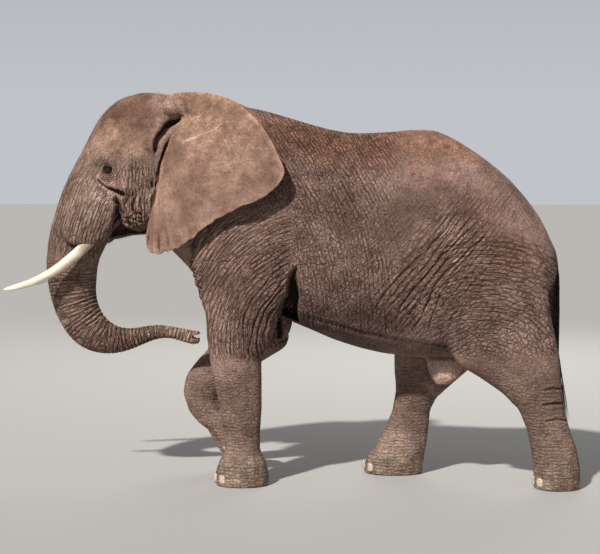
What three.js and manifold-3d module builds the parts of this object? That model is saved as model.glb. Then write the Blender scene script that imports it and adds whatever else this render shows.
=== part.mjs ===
// African bush elephant, an adult bull in mid-stride with one forefoot lifted.
// Millimetres, +Z up. The head is towards -X and the animal's left side towards -Y.
// Each part of the body is lofted through ribbons: a ribbon runs from the front (or top) outline
// to the back (or bottom) outline in side view, and swells sideways to a half width.
import * as THREE from 'three';
import { mergeVertices } from 'three/addons/utils/BufferGeometryUtils.js';
import Module from 'manifold-3d';

const wasm = await Module();
wasm.setup();

// Driving sizes
const GAP = 0.3;               // clearance left between neighbouring parts
const REACH = 14000;           // longer than the animal, for the boxes that part it
const FORE_TRACK = 335;        // sideways distance of a forefoot from the midline
const HIND_TRACK = 325;        // sideways distance of a hind foot from the midline
const SHOULDER_OUT = 345;      // sideways distance of the shoulder blade's middle
const HIP_OUT = 345;           // sideways distance of the hip's middle
const EAR_ROOT_THICKNESS = 34;
const EAR_EDGE_THICKNESS = 18;
const EAR_DISH = 40;           // how far the middle of the ear bows outwards
const DOME_ANGLES = [Math.PI / 6, Math.PI / 3];
const EYE_RADIUS = 24;
const NAIL_DEPTH = 26;
const NAIL_HALF_WIDTH = 44;
const NAIL_HALF_HEIGHT = 46;
const NAIL_FAN = { 4: 0.55, 3: 0.66 };  // angle between neighbouring nails, by how many there are
const TUSK_ROOT_RADIUS = 56;
const TUSK_END_RADIUS = 22;

// Finishes
const HIDE = { color: 0x74655c, roughness: 0.9, metalness: 0 };
const IVORY = { color: 0xe2d3b4, roughness: 0.45, metalness: 0 };
const EYE = { color: 0x2a1a10, roughness: 0.12, metalness: 0 };
const HORN = { color: 0xa39784, roughness: 0.7, metalness: 0 };
const HAIR = { color: 0x1d1815, roughness: 0.75, metalness: 0 };

// A closed manifold solid from a three.js geometry, turned to face outwards.
function solid(geometry) {
  const bare = geometry.clone();
  for (const name of Object.keys(bare.attributes)) {
    if (name !== 'position') bare.deleteAttribute(name);
  }
  const merged = mergeVertices(bare, 1e-3);
  const vertProperties = new Float32Array(merged.attributes.position.array);
  const triVerts = new Uint32Array(merged.index.array);
  let volume = 0;
  const [p, q, r] = [new THREE.Vector3(), new THREE.Vector3(), new THREE.Vector3()];
  for (let i = 0; i < triVerts.length; i += 3) {
    p.fromArray(vertProperties, 3 * triVerts[i]);
    q.fromArray(vertProperties, 3 * triVerts[i + 1]);
    r.fromArray(vertProperties, 3 * triVerts[i + 2]);
    volume += p.dot(q.cross(r));
  }
  if (volume < 0) {
    for (let i = 0; i < triVerts.length; i += 3) {
      [triVerts[i], triVerts[i + 1]] = [triVerts[i + 1], triVerts[i]];
    }
  }
  return new wasm.Manifold(new wasm.Mesh({ numProp: 3, vertProperties, triVerts }));
}

// Joins equal rings of points into a closed skin, with a point at each end.
function closeRings(rings, startPoint, endPoint) {
  const around = rings[0].length;
  const points = [startPoint, ...rings.flat(), endPoint];
  const index = [];
  for (let i = 0; i < around; i += 1) {
    const next = (i + 1) % around;
    index.push(0, 1 + next, 1 + i);
    for (let k = 0; k < rings.length - 1; k += 1) {
      const low = 1 + k * around;
      const high = low + around;
      index.push(low + i, low + next, high + next);
      index.push(low + i, high + next, high + i);
    }
    const last = 1 + (rings.length - 1) * around;
    index.push(last + i, last + next, points.length - 1);
  }
  const geometry = new THREE.BufferGeometry();
  const numbers = points.flatMap((v) => v.toArray());
  geometry.setAttribute('position', new THREE.Float32BufferAttribute(numbers, 3));
  geometry.setIndex(index);
  return geometry;
}

// Lofts a smooth body through ribbons [frontX, frontZ, backX, backZ, halfWidth, y].
// The section is a superellipse in two halves that meet where it is widest.
function loft(ribbons, shape) {
  const { around = 16, steps = 2, widest = 0.5, frontPower = 2, backPower = 2 } = shape;
  const { startDome = 0, endDome = 0, grow = 0, side = 1 } = shape;
  const curve = (pick) => new THREE.CatmullRomCurve3(ribbons.map(pick), false, 'catmullrom', 0.5);
  const fronts = curve(([x, z]) => new THREE.Vector3(x, 0, z));
  const backs = curve(([, , x, z]) => new THREE.Vector3(x, 0, z));
  const swells = curve(([, , , , w, y = 0]) => new THREE.Vector3(w, y, 0));
  const spans = (ribbons.length - 1) * steps;
  const middles = [];
  const rings = [];
  for (let k = 0; k <= spans; k += 1) {
    const front = fronts.getPoint(k / spans);
    const back = backs.getPoint(k / spans);
    const across = front.clone().sub(back).normalize().multiplyScalar(grow);
    front.add(across);
    back.sub(across);
    const swell = swells.getPoint(k / spans);
    const half = Math.max(swell.x, 1) + grow;
    const core = front.clone().lerp(back, widest);
    const ring = [];
    for (let i = 0; i < around; i += 1) {
      const angle = (2 * Math.PI * i) / around;
      const power = 2 / (Math.cos(angle) >= 0 ? frontPower : backPower);
      const reach = Math.abs(Math.cos(angle)) ** power;
      const out = Math.sign(Math.sin(angle)) * Math.abs(Math.sin(angle)) ** power;
      const point = core.clone().lerp(Math.cos(angle) >= 0 ? front : back, reach);
      point.y = side * (swell.y + half * out);
      ring.push(point);
    }
    middles.push(core.clone().setY(side * swell.y));
    rings.push(ring);
  }
  const first = capRings(rings[0], middles[0], middles[1], startDome + grow);
  const last = capRings(rings.at(-1), middles.at(-1), middles.at(-2), endDome + grow);
  return solid(closeRings([...first.rings.reverse(), ...rings, ...last.rings], first.tip, last.tip));
}

// Rings that round off the end of a loft like part of a ball, as deep as the dome.
function capRings(ring, middle, inner, dome) {
  const outward = middle.clone().sub(inner).normalize();
  const tip = middle.clone().addScaledVector(outward, dome);
  const angles = dome > 5 ? DOME_ANGLES : [];
  const rings = angles.map((angle) => ring.map((point) => point.clone()
    .sub(middle)
    .multiplyScalar(Math.cos(angle))
    .add(middle)
    .addScaledVector(outward, dome * Math.sin(angle))));
  return { rings, tip };
}

// A squashed ball with half sizes along its own axes, turned about Y and then about Z, and moved.
function ball([x, y, z], [a, b, c], { tilt = 0, turn = 0, grow = 0, detail = 8 } = {}) {
  const geometry = new THREE.SphereGeometry(1, detail, Math.round(detail * 0.6));
  geometry.rotateX(Math.PI / 2);
  geometry.scale(a + grow, b + grow, c + grow);
  geometry.rotateY(tilt);
  geometry.rotateZ(turn);
  geometry.translate(x, y, z);
  return solid(geometry);
}

// A large block whose one face passes through a point; it fills the side that the angle points to.
// The angle is measured in side view from +X towards +Z.
function block(x, z, degrees, shift = 0) {
  const geometry = new THREE.BoxGeometry(REACH, REACH, REACH);
  geometry.translate(REACH / 2 - shift, 0, 0);
  geometry.rotateY(-THREE.MathUtils.degToRad(degrees));
  geometry.translate(x, 0, z);
  return solid(geometry);
}

// A large block on one side of the midline: -1 is the animal's left.
function sideBlock(side, y, shift = 0) {
  const geometry = new THREE.BoxGeometry(REACH, REACH, REACH);
  geometry.translate(0, side * (y - shift + REACH / 2), 0);
  return solid(geometry);
}

// Parts a body in two: what lies in every block, and the rest behind a thin gap.
function part(body, blocks) {
  const meet = (shift) => blocks.map((make) => make(shift)).reduce((a, b) => a.intersect(b));
  return [body.intersect(meet(0)), body.subtract(meet(GAP))];
}

const joined = (solids) => solids.reduce((a, b) => a.add(b));
const bothSides = (make) => [make(-1), make(1)];

// Trunk of the body: neck, chest, belly and rump in one loft, from top to underside.
const body = (grow) => loft([
  [-1330, 3268, -1380, 2230, 225],
  [-1000, 3262, -1160, 2020, 262],
  [-650, 3243, -935, 1790, 338],
  [-300, 3184, -640, 1470, 440],
  [60, 3076, -130, 1380, 510],
  [420, 2992, 300, 1204, 565],
  [800, 3002, 720, 1090, 588],
  [1150, 3014, 1180, 1054, 578],
  [1480, 2838, 1600, 1090, 536],
  [1790, 2592, 1850, 1240, 472],
  [2040, 2280, 2030, 1450, 378],
  [2165, 2015, 2140, 1690, 222],
], { around: 18, steps: 2, widest: 0.57, frontPower: 1.95, backPower: 2.15, endDome: 45, grow });

// Skull from the crown down to the root of the trunk, from forehead to nape and palate.
const skull = (grow) => loft([
  [-1420, 3318, -1130, 3298, 150],
  [-1560, 3276, -1060, 3190, 245],
  [-1690, 3172, -1030, 3030, 298],
  [-1780, 3050, -1040, 2830, 316],
  [-1870, 2880, -1080, 2600, 320],
  [-1960, 2715, -1150, 2400, 328],
  [-2045, 2545, -1280, 2290, 318],
  [-2110, 2370, -1450, 2225, 290],
  [-2165, 2190, -1585, 2120, 250],
  [-2205, 2020, -1690, 2035, 215],
], { around: 16, steps: 2, widest: 0.56, frontPower: 2.15, backPower: 2.4, startDome: 24, grow });

// Trunk from between the tusks to the two-fingered tip, from its front to its back.
const trunk = (grow) => loft([
  [-2190, 2080, -1650, 2080, 228],
  [-2216, 1900, -1745, 1900, 206],
  [-2208, 1710, -1772, 1730, 190],
  [-2170, 1520, -1776, 1590, 174],
  [-2095, 1335, -1745, 1470, 158],
  [-1980, 1180, -1680, 1375, 144],
  [-1820, 1088, -1590, 1315, 128],
  [-1620, 1071, -1480, 1298, 108],
  [-1440, 1121, -1375, 1312, 88],
  [-1280, 1190, -1255, 1329, 72],
  [-1150, 1211, -1133, 1316, 60],
  [-1030, 1182, -1020, 1298, 60],
  [-940, 1157, -935, 1281, 63],
  [-885, 1166, -880, 1274, 56],
], { around: 10, steps: 2, frontPower: 2.1, backPower: 2.2, endDome: 12, grow });

// Swellings of the head: brow over the eye, cheekbone, chewing muscle and the sheath of the tusk.
const faceForms = (side, grow) => [
  ball([-1600, side * 235, 2748], [190, 98, 120], { tilt: 0.5, grow }),
  ball([-1420, side * 250, 2560], [250, 112, 120], { tilt: -0.3, grow }),
  ball([-1330, side * 232, 2380], [170, 115, 215], { grow }),
  loft([
    [-1900, 2560, -1590, 2500, 92, 196],
    [-1985, 2400, -1522, 2372, 112, 218],
    [-2035, 2230, -1545, 2230, 116, 230],
    [-2028, 2110, -1625, 2090, 104, 240],
    [-1975, 2048, -1690, 2032, 82, 250],
  ], { around: 10, steps: 1, startDome: 60, endDome: 14, grow, side }),
];

// Lower jaw with its short pointed lip, from the mouth line to the underside.
const jaw = (grow) => loft([
  [-1180, 2520, -1190, 2150, 225],
  [-1330, 2450, -1325, 2112, 235],
  [-1460, 2340, -1450, 2104, 200],
  [-1590, 2230, -1570, 2075, 140],
  [-1690, 2140, -1680, 2052, 70],
], { around: 12, steps: 1, startDome: 60, endDome: 40, grow });

// Left foreleg, straight and bearing weight, from its front to its back.
const standingForeleg = [
  [-640, 2460, -260, 2480, 115, SHOULDER_OUT - 65],
  [-850, 2160, -140, 2220, 168, SHOULDER_OUT - 22],
  [-915, 1880, -15, 1950, 195, SHOULDER_OUT - 10],
  [-845, 1650, -20, 1690, 200, SHOULDER_OUT],
  [-775, 1430, -150, 1440, 190, SHOULDER_OUT],
  [-771, 1270, -200, 1250, 180, SHOULDER_OUT - 5],
  [-748, 1080, -300, 1080, 166, FORE_TRACK],
  [-706, 870, -297, 880, 157, FORE_TRACK],
  [-660, 640, -300, 650, 147, FORE_TRACK],
  [-628, 440, -315, 430, 141, FORE_TRACK],
  [-612, 310, -315, 300, 152, FORE_TRACK],
  [-668, 190, -262, 190, 192, FORE_TRACK],
  [-700, 90, -240, 90, 214, FORE_TRACK],
  [-703, 22, -238, 22, 216, FORE_TRACK],
  [-690, 0, -250, 0, 204, FORE_TRACK],
];

// Right foreleg, lifted: the forearm reaches forward, and the wrist is bent so the foot trails.
const liftedForeleg = [
  [-640, 2460, -260, 2480, 115, SHOULDER_OUT - 65],
  [-850, 2160, -140, 2220, 168, SHOULDER_OUT - 22],
  [-905, 1880, -50, 1930, 195, SHOULDER_OUT - 10],
  [-860, 1640, -45, 1640, 200, SHOULDER_OUT],
  [-800, 1440, -65, 1340, 192, SHOULDER_OUT - 5],
  [-790, 1240, -140, 1110, 182, SHOULDER_OUT - 10],
  [-850, 1080, -345, 985, 170, FORE_TRACK],
  [-960, 965, -540, 850, 161, FORE_TRACK],
  [-1045, 840, -680, 740, 156, FORE_TRACK],
  [-1068, 700, -735, 655, 150, FORE_TRACK],
  [-1015, 530, -705, 570, 146, FORE_TRACK],
  [-930, 428, -645, 520, 146, FORE_TRACK],
  [-850, 368, -565, 490, 160, FORE_TRACK],
  [-800, 285, -470, 462, 190, FORE_TRACK],
  [-758, 205, -415, 420, 206, FORE_TRACK],
  [-715, 150, -392, 378, 204, FORE_TRACK],
  [-692, 142, -400, 352, 190, FORE_TRACK],
];

// Left hind leg at the end of its push, from its front to its back.
const pushingHindleg = [
  [1290, 2360, 1790, 2380, 110, HIP_OUT - 75],
  [1165, 2080, 1985, 2130, 168, HIP_OUT - 30],
  [1140, 1800, 2095, 1880, 196, HIP_OUT - 10],
  [1160, 1520, 2108, 1640, 208, HIP_OUT],
  [1215, 1260, 2135, 1420, 206, HIP_OUT],
  [1330, 1045, 2178, 1250, 198, HIP_OUT - 5],
  [1530, 925, 2206, 1040, 182, HIND_TRACK],
  [1730, 790, 2222, 840, 164, HIND_TRACK],
  [1862, 655, 2240, 670, 154, HIND_TRACK],
  [1925, 500, 2288, 500, 154, HIND_TRACK],
  [1966, 320, 2352, 320, 170, HIND_TRACK],
  [1984, 170, 2378, 170, 188, HIND_TRACK],
  [1986, 60, 2380, 60, 196, HIND_TRACK],
  [1988, 18, 2376, 18, 194, HIND_TRACK],
  [1998, 0, 2362, 0, 184, HIND_TRACK],
];

// Right hind leg, set down ahead of the other, from its front to its back.
const leadingHindleg = [
  [1250, 2360, 1760, 2380, 110, HIP_OUT - 75],
  [1080, 2080, 1940, 2130, 168, HIP_OUT - 30],
  [970, 1800, 1980, 1850, 196, HIP_OUT - 10],
  [890, 1530, 1900, 1560, 208, HIP_OUT],
  [835, 1280, 1740, 1240, 206, HIP_OUT],
  [800, 1060, 1520, 960, 195, HIP_OUT - 5],
  [808, 880, 1300, 770, 174, HIND_TRACK],
  [824, 740, 1185, 670, 160, HIND_TRACK],
  [795, 560, 1130, 560, 152, HIND_TRACK],
  [735, 410, 1117, 410, 158, HIND_TRACK],
  [655, 265, 1100, 260, 176, HIND_TRACK],
  [580, 150, 1080, 150, 194, HIND_TRACK],
  [540, 60, 1068, 60, 200, HIND_TRACK],
  [542, 18, 1064, 18, 198, HIND_TRACK],
  [556, 0, 1050, 0, 188, HIND_TRACK],
];

const leg = (ribbons, side, grow) => loft(ribbons, {
  around: 12, steps: 1, frontPower: 2.1, backPower: 2.1, startDome: 90, side, grow,
});

// Prepuce under the rear of the belly, from its front to its back.
const prepuce = loft([
  [1060, 1150, 1420, 1130, 92],
  [1090, 1000, 1400, 980, 84],
  [1125, 900, 1375, 895, 74],
  [1165, 835, 1310, 845, 54],
], { around: 10, steps: 1, endDome: 14 });

// Tail hanging down the midline, and the flat tuft of stiff hair on its end.
const tail = loft([
  [2060, 2110, 2180, 2020, 60],
  [2095, 1900, 2212, 1860, 52],
  [2125, 1700, 2224, 1690, 43],
  [2145, 1450, 2226, 1450, 36],
  [2158, 1150, 2222, 1150, 28],
  [2168, 860, 2216, 860, 21],
], { around: 8, steps: 1, endDome: 8 });
const tuft = loft([
  [2172, 845, 2212, 845, 17],
  [2146, 740, 2238, 740, 19],
  [2140, 590, 2244, 590, 17],
  [2172, 450, 2214, 450, 8],
], { around: 8, steps: 1, endDome: 16 });

// Tusk: a curved taper from its socket beside the trunk, forwards, down and then levelling out.
const tusk = (side, grow) => {
  const path = new THREE.CatmullRomCurve3([
    [-1690, -238, 2160],
    [-1775, -265, 2066],
    [-1905, -293, 1942],
    [-2075, -316, 1812],
    [-2250, -325, 1720],
    [-2420, -318, 1666],
    [-2522, -305, 1646],
  ].map(([x, y, z]) => new THREE.Vector3(x, -side * y, z)));
  const ringCount = 10;
  const around = 8;
  const rings = [];
  for (let k = 0; k <= ringCount; k += 1) {
    const t = k / ringCount;
    const taper = THREE.MathUtils.lerp(TUSK_ROOT_RADIUS, TUSK_END_RADIUS, t);
    const radius = taper * Math.sqrt(1 - (0.99 * t) ** 9) + grow;
    const centre = path.getPoint(t);
    const along = path.getTangent(t);
    const up = new THREE.Vector3(0, 1, 0).cross(along).normalize();
    const across = along.clone().cross(up);
    rings.push(Array.from({ length: around }, (_, i) => {
      const angle = (2 * Math.PI * i) / around;
      return centre.clone()
        .addScaledVector(up, radius * Math.cos(angle))
        .addScaledVector(across, radius * Math.sin(angle));
    }));
  }
  const start = path.getPoint(0).addScaledVector(path.getTangent(0), -grow);
  const end = path.getPoint(1).addScaledVector(path.getTangent(1), 6 + grow);
  return solid(closeRings(rings, start, end));
};

// Ear: a thin sheet from its root on the head out to its edge, flared back from the neck.
const EAR_ROOT = [
  [-1120, 185, 3270],
  [-1010, 215, 3200],
  [-990, 235, 3110],
  [-1060, 250, 3000],
  [-1110, 262, 2870],
  [-1170, 275, 2680],
  [-1205, 285, 2520],
  [-1238, 292, 2370],
];
const EAR_EDGE = [
  [-1135, 225, 3312],
  [-950, 300, 3322],
  [-730, 385, 3304],
  [-480, 505, 3216],
  [-262, 590, 3010],
  [-118, 625, 2750],
  [-92, 632, 2612],
  [-240, 622, 2450],
  [-560, 592, 2306],
  [-755, 565, 2185],
  [-940, 530, 2040],
  [-1060, 480, 1990],
  [-1180, 440, 1962],
  [-1258, 402, 1998],
  [-1278, 384, 2120],
];
const ear = (side) => {
  const toCurve = (points) => new THREE.CatmullRomCurve3(points.map((p) => new THREE.Vector3(...p)));
  const root = toCurve(EAR_ROOT);
  const edge = toCurve(EAR_EDGE);
  const columns = 20;
  const rows = 4;
  const layers = [-0.5, 0.5].map((layer) => Array.from({ length: columns + 1 }, (_, i) => {
    const from = root.getPoint(i / columns);
    const to = edge.getPoint(i / columns);
    return Array.from({ length: rows + 1 }, (_unused, j) => {
      const out = j / rows;
      const point = from.clone().lerp(to, out);
      point.y += EAR_DISH * Math.sin(Math.PI * out) * Math.sin((Math.PI * i) / columns);
      point.y += layer * THREE.MathUtils.lerp(EAR_ROOT_THICKNESS, EAR_EDGE_THICKNESS, out);
      point.y *= side;
      return point;
    });
  }));
  const vertexOf = (layer, i, j) => layer * (columns + 1) * (rows + 1) + i * (rows + 1) + j;
  const index = [];
  const quad = (a, b, c, d) => index.push(a, b, c, a, c, d);
  for (let i = 0; i < columns; i += 1) {
    for (let j = 0; j < rows; j += 1) {
      quad(vertexOf(0, i, j), vertexOf(0, i + 1, j), vertexOf(0, i + 1, j + 1), vertexOf(0, i, j + 1));
      quad(vertexOf(1, i, j), vertexOf(1, i, j + 1), vertexOf(1, i + 1, j + 1), vertexOf(1, i + 1, j));
    }
    quad(vertexOf(0, i, 0), vertexOf(1, i, 0), vertexOf(1, i + 1, 0), vertexOf(0, i + 1, 0));
    quad(vertexOf(0, i, rows), vertexOf(0, i + 1, rows), vertexOf(1, i + 1, rows), vertexOf(1, i, rows));
  }
  for (let j = 0; j < rows; j += 1) {
    quad(vertexOf(0, 0, j), vertexOf(0, 0, j + 1), vertexOf(1, 0, j + 1), vertexOf(1, 0, j));
    const n = columns;
    quad(vertexOf(0, n, j), vertexOf(1, n, j), vertexOf(1, n, j + 1), vertexOf(0, n, j + 1));
  }
  const geometry = new THREE.BufferGeometry();
  const positions = layers.flat(2).flatMap((v) => v.toArray());
  geometry.setAttribute('position', new THREE.Float32BufferAttribute(positions, 3));
  geometry.setIndex(index);
  return solid(geometry);
};

// Eye set in the side of the head, with its cornea a little proud of the lids.
const EYE_PLACE = [-1613, 308, 2672];
const eye = (side, grow) => ball(
  [EYE_PLACE[0], side * EYE_PLACE[1], EYE_PLACE[2]],
  [EYE_RADIUS, EYE_RADIUS, EYE_RADIUS],
  { grow, detail: 8 },
);

// Toenails: blunt shields around the front rim of a foot standing on the ground, or of the lifted
// one, which is turned about its wrist.
const FEET = {
  left_fore: {
    ribbons: standingForeleg, side: -1, nails: 4, centre: [-470, 64], reach: 232, width: 212, pitch: 0,
  },
  right_fore: {
    ribbons: liftedForeleg, side: 1, nails: 4, centre: [-548, 300], reach: 216, width: 208, pitch: 0.63,
  },
  left_hind: {
    ribbons: pushingHindleg, side: -1, nails: 3, centre: [2182, 62], reach: 196, width: 194, pitch: 0,
  },
  right_hind: {
    ribbons: leadingHindleg, side: 1, nails: 3, centre: [804, 62], reach: 262, width: 198, pitch: 0,
  },
};

const legOf = (foot, grow = 0) => leg(FEET[foot].ribbons, FEET[foot].side, grow);

function toenails(foot) {
  const { side, nails, centre, reach, width, pitch } = FEET[foot];
  const track = foot.endsWith('fore') ? FORE_TRACK : HIND_TRACK;
  const behind = legOf(foot, GAP);
  return Array.from({ length: nails }, (_, i) => {
    const fan = (i - (nails - 1) / 2) * NAIL_FAN[nails];
    const ahead = reach * Math.cos(fan);
    const x = centre[0] - ahead * Math.cos(pitch);
    const z = centre[1] - ahead * Math.sin(pitch);
    const y = side * track + width * Math.sin(fan);
    const turn = Math.atan2(-width * Math.sin(fan), reach * Math.cos(fan));
    const halves = [NAIL_DEPTH, NAIL_HALF_WIDTH, NAIL_HALF_HEIGHT];
    const nail = ball([x, y, z], halves, { tilt: -pitch, turn, detail: 6 });
    return largest(nail.subtract(behind));
  });
}

// The biggest of the separate pieces that a cut leaves.
function largest(cut) {
  return cut.decompose().reduce((a, b) => (a.volume() > b.volume() ? a : b));
}

// Flesh joined whole, with sockets for the tusks and eyes and the cleft between the trunk's fingers.
const cleft = ball([-872, 0, 1228], [92, 90, 21], { tilt: -0.05, detail: 10 });
const forms = (grow) => joined([
  body(grow),
  skull(grow),
  trunk(grow),
  ...[-1, 1].flatMap((side) => faceForms(side, grow)),
]);
const legs = joined(Object.keys(FEET).map((foot) => legOf(foot)));
const sockets = joined(bothSides((side) => tusk(side, GAP).add(eye(side, GAP))));
const flesh = forms(0).add(legs).subtract(sockets).subtract(cleft);
const neighbours = forms(GAP);

// Cuts that part the flesh, each given as the blocks that its piece fills.
const at = (x, z, degrees) => (shift) => block(x, z, degrees, shift);
const beside = (side, y) => (shift) => sideBlock(side, y, shift);

const parts = [];
const add = (name, body3, finish = HIDE) => parts.push([name, body3, finish]);

function partLeg(rest, name, region, joints) {
  let [limb, remainder] = part(rest, region);
  const names = ['foot', 'lower', 'upper'];
  for (const joint of joints) {
    const [lower, above] = part(limb, [joint]);
    add(`${name}_${names.shift()}`, lower);
    limb = above;
  }
  add(`${name}_${names.shift()}`, limb);
  return remainder;
}

let rest = flesh;
rest = partLeg(rest, 'foreleg_left', [beside(-1, 75), at(0, 1350, -90), at(-100, 0, 180), at(-950, 0, 0)], [
  at(-470, 240, -90), at(-480, 740, -90),
]);
rest = partLeg(rest, 'foreleg_right', [beside(1, 75), at(0, 1330, -90), at(0, 0, 180), at(-1150, 0, 0)], [
  at(-698, 430, -65), at(-895, 690, -98),
]);
rest = partLeg(rest, 'hindleg_left', [beside(-1, 60), at(1150, 1040, -59)], [
  at(2160, 235, -90), at(1976, 815, -84),
]);
rest = partLeg(rest, 'hindleg_right', [beside(1, 60), at(780, 1050, -64)], [
  at(880, 215, -90), at(1010, 720, -84),
]);

const frontOf = (x) => at(x, 0, 180);
const below = (z) => at(0, z, -90);
const bodyJoints = [
  ['trunk_tip', [at(-1267, 1260, 0), frontOf(-850), below(1450)]],
  ['trunk_lower', [at(-1705, 1200, -45), frontOf(-850), below(1450)]],
  ['trunk_bend', [at(-1973, 1555, -80), frontOf(-1300)]],
  ['trunk_upper', [below(1965), frontOf(-1300)]],
  ['head', [at(-1075, 2900, 172)]],
  ['neck', [at(-800, 2700, 170)]],
  ['chest', [frontOf(50)]],
  ['belly', [frontOf(1130)]],
];
for (const [name, region] of bodyJoints) {
  let piece;
  [piece, rest] = part(rest, region);
  add(name, piece);
}
add('rump', rest);

add('lower_jaw', largest(jaw(0).subtract(neighbours)));
add('prepuce', largest(prepuce.subtract(neighbours)));
const [tailTuft, tailStem] = part(tail.subtract(neighbours).add(tuft), [at(2190, 846, -90)]);
add('tail', largest(tailStem));
add('tail_tuft', tailTuft, HAIR);
for (const [name, side] of [['left', -1], ['right', 1]]) {
  add(`ear_${name}`, largest(ear(side).subtract(neighbours)));
  add(`tusk_${name}`, tusk(side, 0), IVORY);
  add(`eye_${name}`, eye(side, 0), EYE);
}
for (const foot of Object.keys(FEET)) {
  toenails(foot).forEach((nail, i) => add(`nail_${foot}_${i + 1}`, nail, HORN));
}

// Each part becomes a named mesh, and the whole stands with its base at z = 0, centred in plan.
const elephant = new THREE.Group();
const bounds = new THREE.Box3();
for (const [name, piece, finish] of parts) {
  const { vertProperties, triVerts } = piece.getMesh();
  const geometry = new THREE.BufferGeometry();
  geometry.setAttribute('position', new THREE.BufferAttribute(vertProperties, 3));
  geometry.setIndex(new THREE.BufferAttribute(triVerts, 1));
  const mesh = new THREE.Mesh(geometry, new THREE.MeshStandardMaterial(finish));
  mesh.name = name;
  elephant.add(mesh);
  geometry.computeBoundingBox();
  bounds.union(geometry.boundingBox);
}
const middle = bounds.getCenter(new THREE.Vector3());
elephant.position.set(-middle.x, -middle.y, -bounds.min.z);

export default elephant;
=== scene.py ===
import math
import bmesh
import bpy
import numpy as np
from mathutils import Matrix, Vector


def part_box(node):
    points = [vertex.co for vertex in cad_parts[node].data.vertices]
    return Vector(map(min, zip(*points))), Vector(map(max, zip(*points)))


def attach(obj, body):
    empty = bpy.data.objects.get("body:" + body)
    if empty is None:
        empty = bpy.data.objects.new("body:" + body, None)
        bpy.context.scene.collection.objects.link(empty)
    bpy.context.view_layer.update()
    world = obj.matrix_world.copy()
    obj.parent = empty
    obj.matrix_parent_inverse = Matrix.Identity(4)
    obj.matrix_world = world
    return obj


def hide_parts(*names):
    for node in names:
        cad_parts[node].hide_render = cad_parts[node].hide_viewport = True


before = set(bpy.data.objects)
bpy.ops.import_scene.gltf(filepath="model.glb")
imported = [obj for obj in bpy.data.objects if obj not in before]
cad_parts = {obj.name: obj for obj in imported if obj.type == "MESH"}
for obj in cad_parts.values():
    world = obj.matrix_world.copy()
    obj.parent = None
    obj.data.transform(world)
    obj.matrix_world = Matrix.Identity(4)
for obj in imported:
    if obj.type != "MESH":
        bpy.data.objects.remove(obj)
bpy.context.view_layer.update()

# Studio: a pale floor that runs out to a pale surround, one key light from high on the animal's
# left, two weak fills, and a long lens a little behind the shoulder line.
FLOOR_TINT = (0.40, 0.392, 0.38, 1.0)
SURROUND_TINT = (0.80, 0.83, 0.88, 1.0)
KEY_WAY = (-0.50, -1.0, 1.02)
FILLS = (
    ("fill", (9.0, -9.0, 5.0), (0.3, 0.0, 1.6), 6.0, 80.0, (0.93, 0.96, 1.0)),
    ("back_fill", (2.0, 11.0, 9.0), (0.0, 0.0, 1.6), 7.0, 600.0, (1.0, 0.98, 0.95)),
)
LENS_PLACE = (1.0505, -13.9659, 2.54)
LENS_LENGTH = 97.5
LENS_YAW = math.radians(4.0)
LENS_PITCH = math.radians(3.24)


def fill(tree, made, inputs):
    """Gives each input of a shader node a value, or joins it to a socket."""
    for name, value in inputs.items():
        if isinstance(value, bpy.types.NodeSocket):
            tree.links.new(value, made.inputs[name])
        else:
            made.inputs[name].default_value = value


def node(tree, kind, inputs=None, **settings):
    """Adds one shader node, sets it up and fills its inputs."""
    made = tree.nodes.new(kind)
    for name, value in settings.items():
        setattr(made, name, value)
    fill(tree, made, inputs or {})
    return made


def finish(name):
    """A new material, with its node tree and its Principled shader."""
    material = bpy.data.materials.new(name)
    material.use_nodes = True
    return material, material.node_tree, material.node_tree.nodes["Principled BSDF"]


def hang(name, data, place, turn):
    """Puts a light or the camera in the scene, at a place and turned by three angles."""
    holder = bpy.data.objects.new(name, data)
    holder.location = place
    holder.rotation_euler = turn
    bpy.context.collection.objects.link(holder)
    return holder


bpy.ops.mesh.primitive_plane_add(size=400.0)
floor = bpy.context.object
floor.name = "floor"
floor_finish, tree, shader = finish("floor_finish")
fill(tree, shader, {"Base Color": FLOOR_TINT, "Roughness": 0.95, "Specular IOR Level": 0.1})
floor.data.materials.append(floor_finish)

world = bpy.data.worlds.new("surround")
world.use_nodes = True
tree = world.node_tree
# palest at the horizon and dimmer overhead
height = node(tree, "ShaderNodeSeparateXYZ", {
    "Vector": node(tree, "ShaderNodeTexCoord").outputs["Generated"]}).outputs["Z"]
glow = node(tree, "ShaderNodeMapRange", {"Value": height, "From Min": 0.05, "From Max": 0.5,
                                         "To Min": 0.66, "To Max": 0.20})
fill(tree, tree.nodes["Background"], {"Color": SURROUND_TINT, "Strength": glow.outputs[0]})
bpy.context.scene.world = world

key = bpy.data.lights.new("key", "SUN")
key.angle = math.radians(2.5)
key.energy = 4.9
key.color = (1.0, 0.965, 0.92)
hang("key", key, (0.0, 0.0, 0.0), Vector(KEY_WAY).to_track_quat("Z", "Y").to_euler())
for name, place, aim, size, power, color in FILLS:
    lamp = bpy.data.lights.new(name, "AREA")
    lamp.size = size
    lamp.energy = power
    lamp.color = color
    hang(name, lamp, place, (Vector(aim) - Vector(place)).to_track_quat("-Z", "Y").to_euler())

lens = bpy.data.cameras.new("lens")
lens.sensor_fit = "HORIZONTAL"
lens.sensor_width = 36.0
lens.lens = LENS_LENGTH
lens.clip_end = 300.0
bpy.context.scene.camera = hang("camera", lens, LENS_PLACE,
                                (math.radians(90.0) - LENS_PITCH, 0.0, LENS_YAW))
bpy.context.scene.view_settings.view_transform = "Standard"

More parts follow.
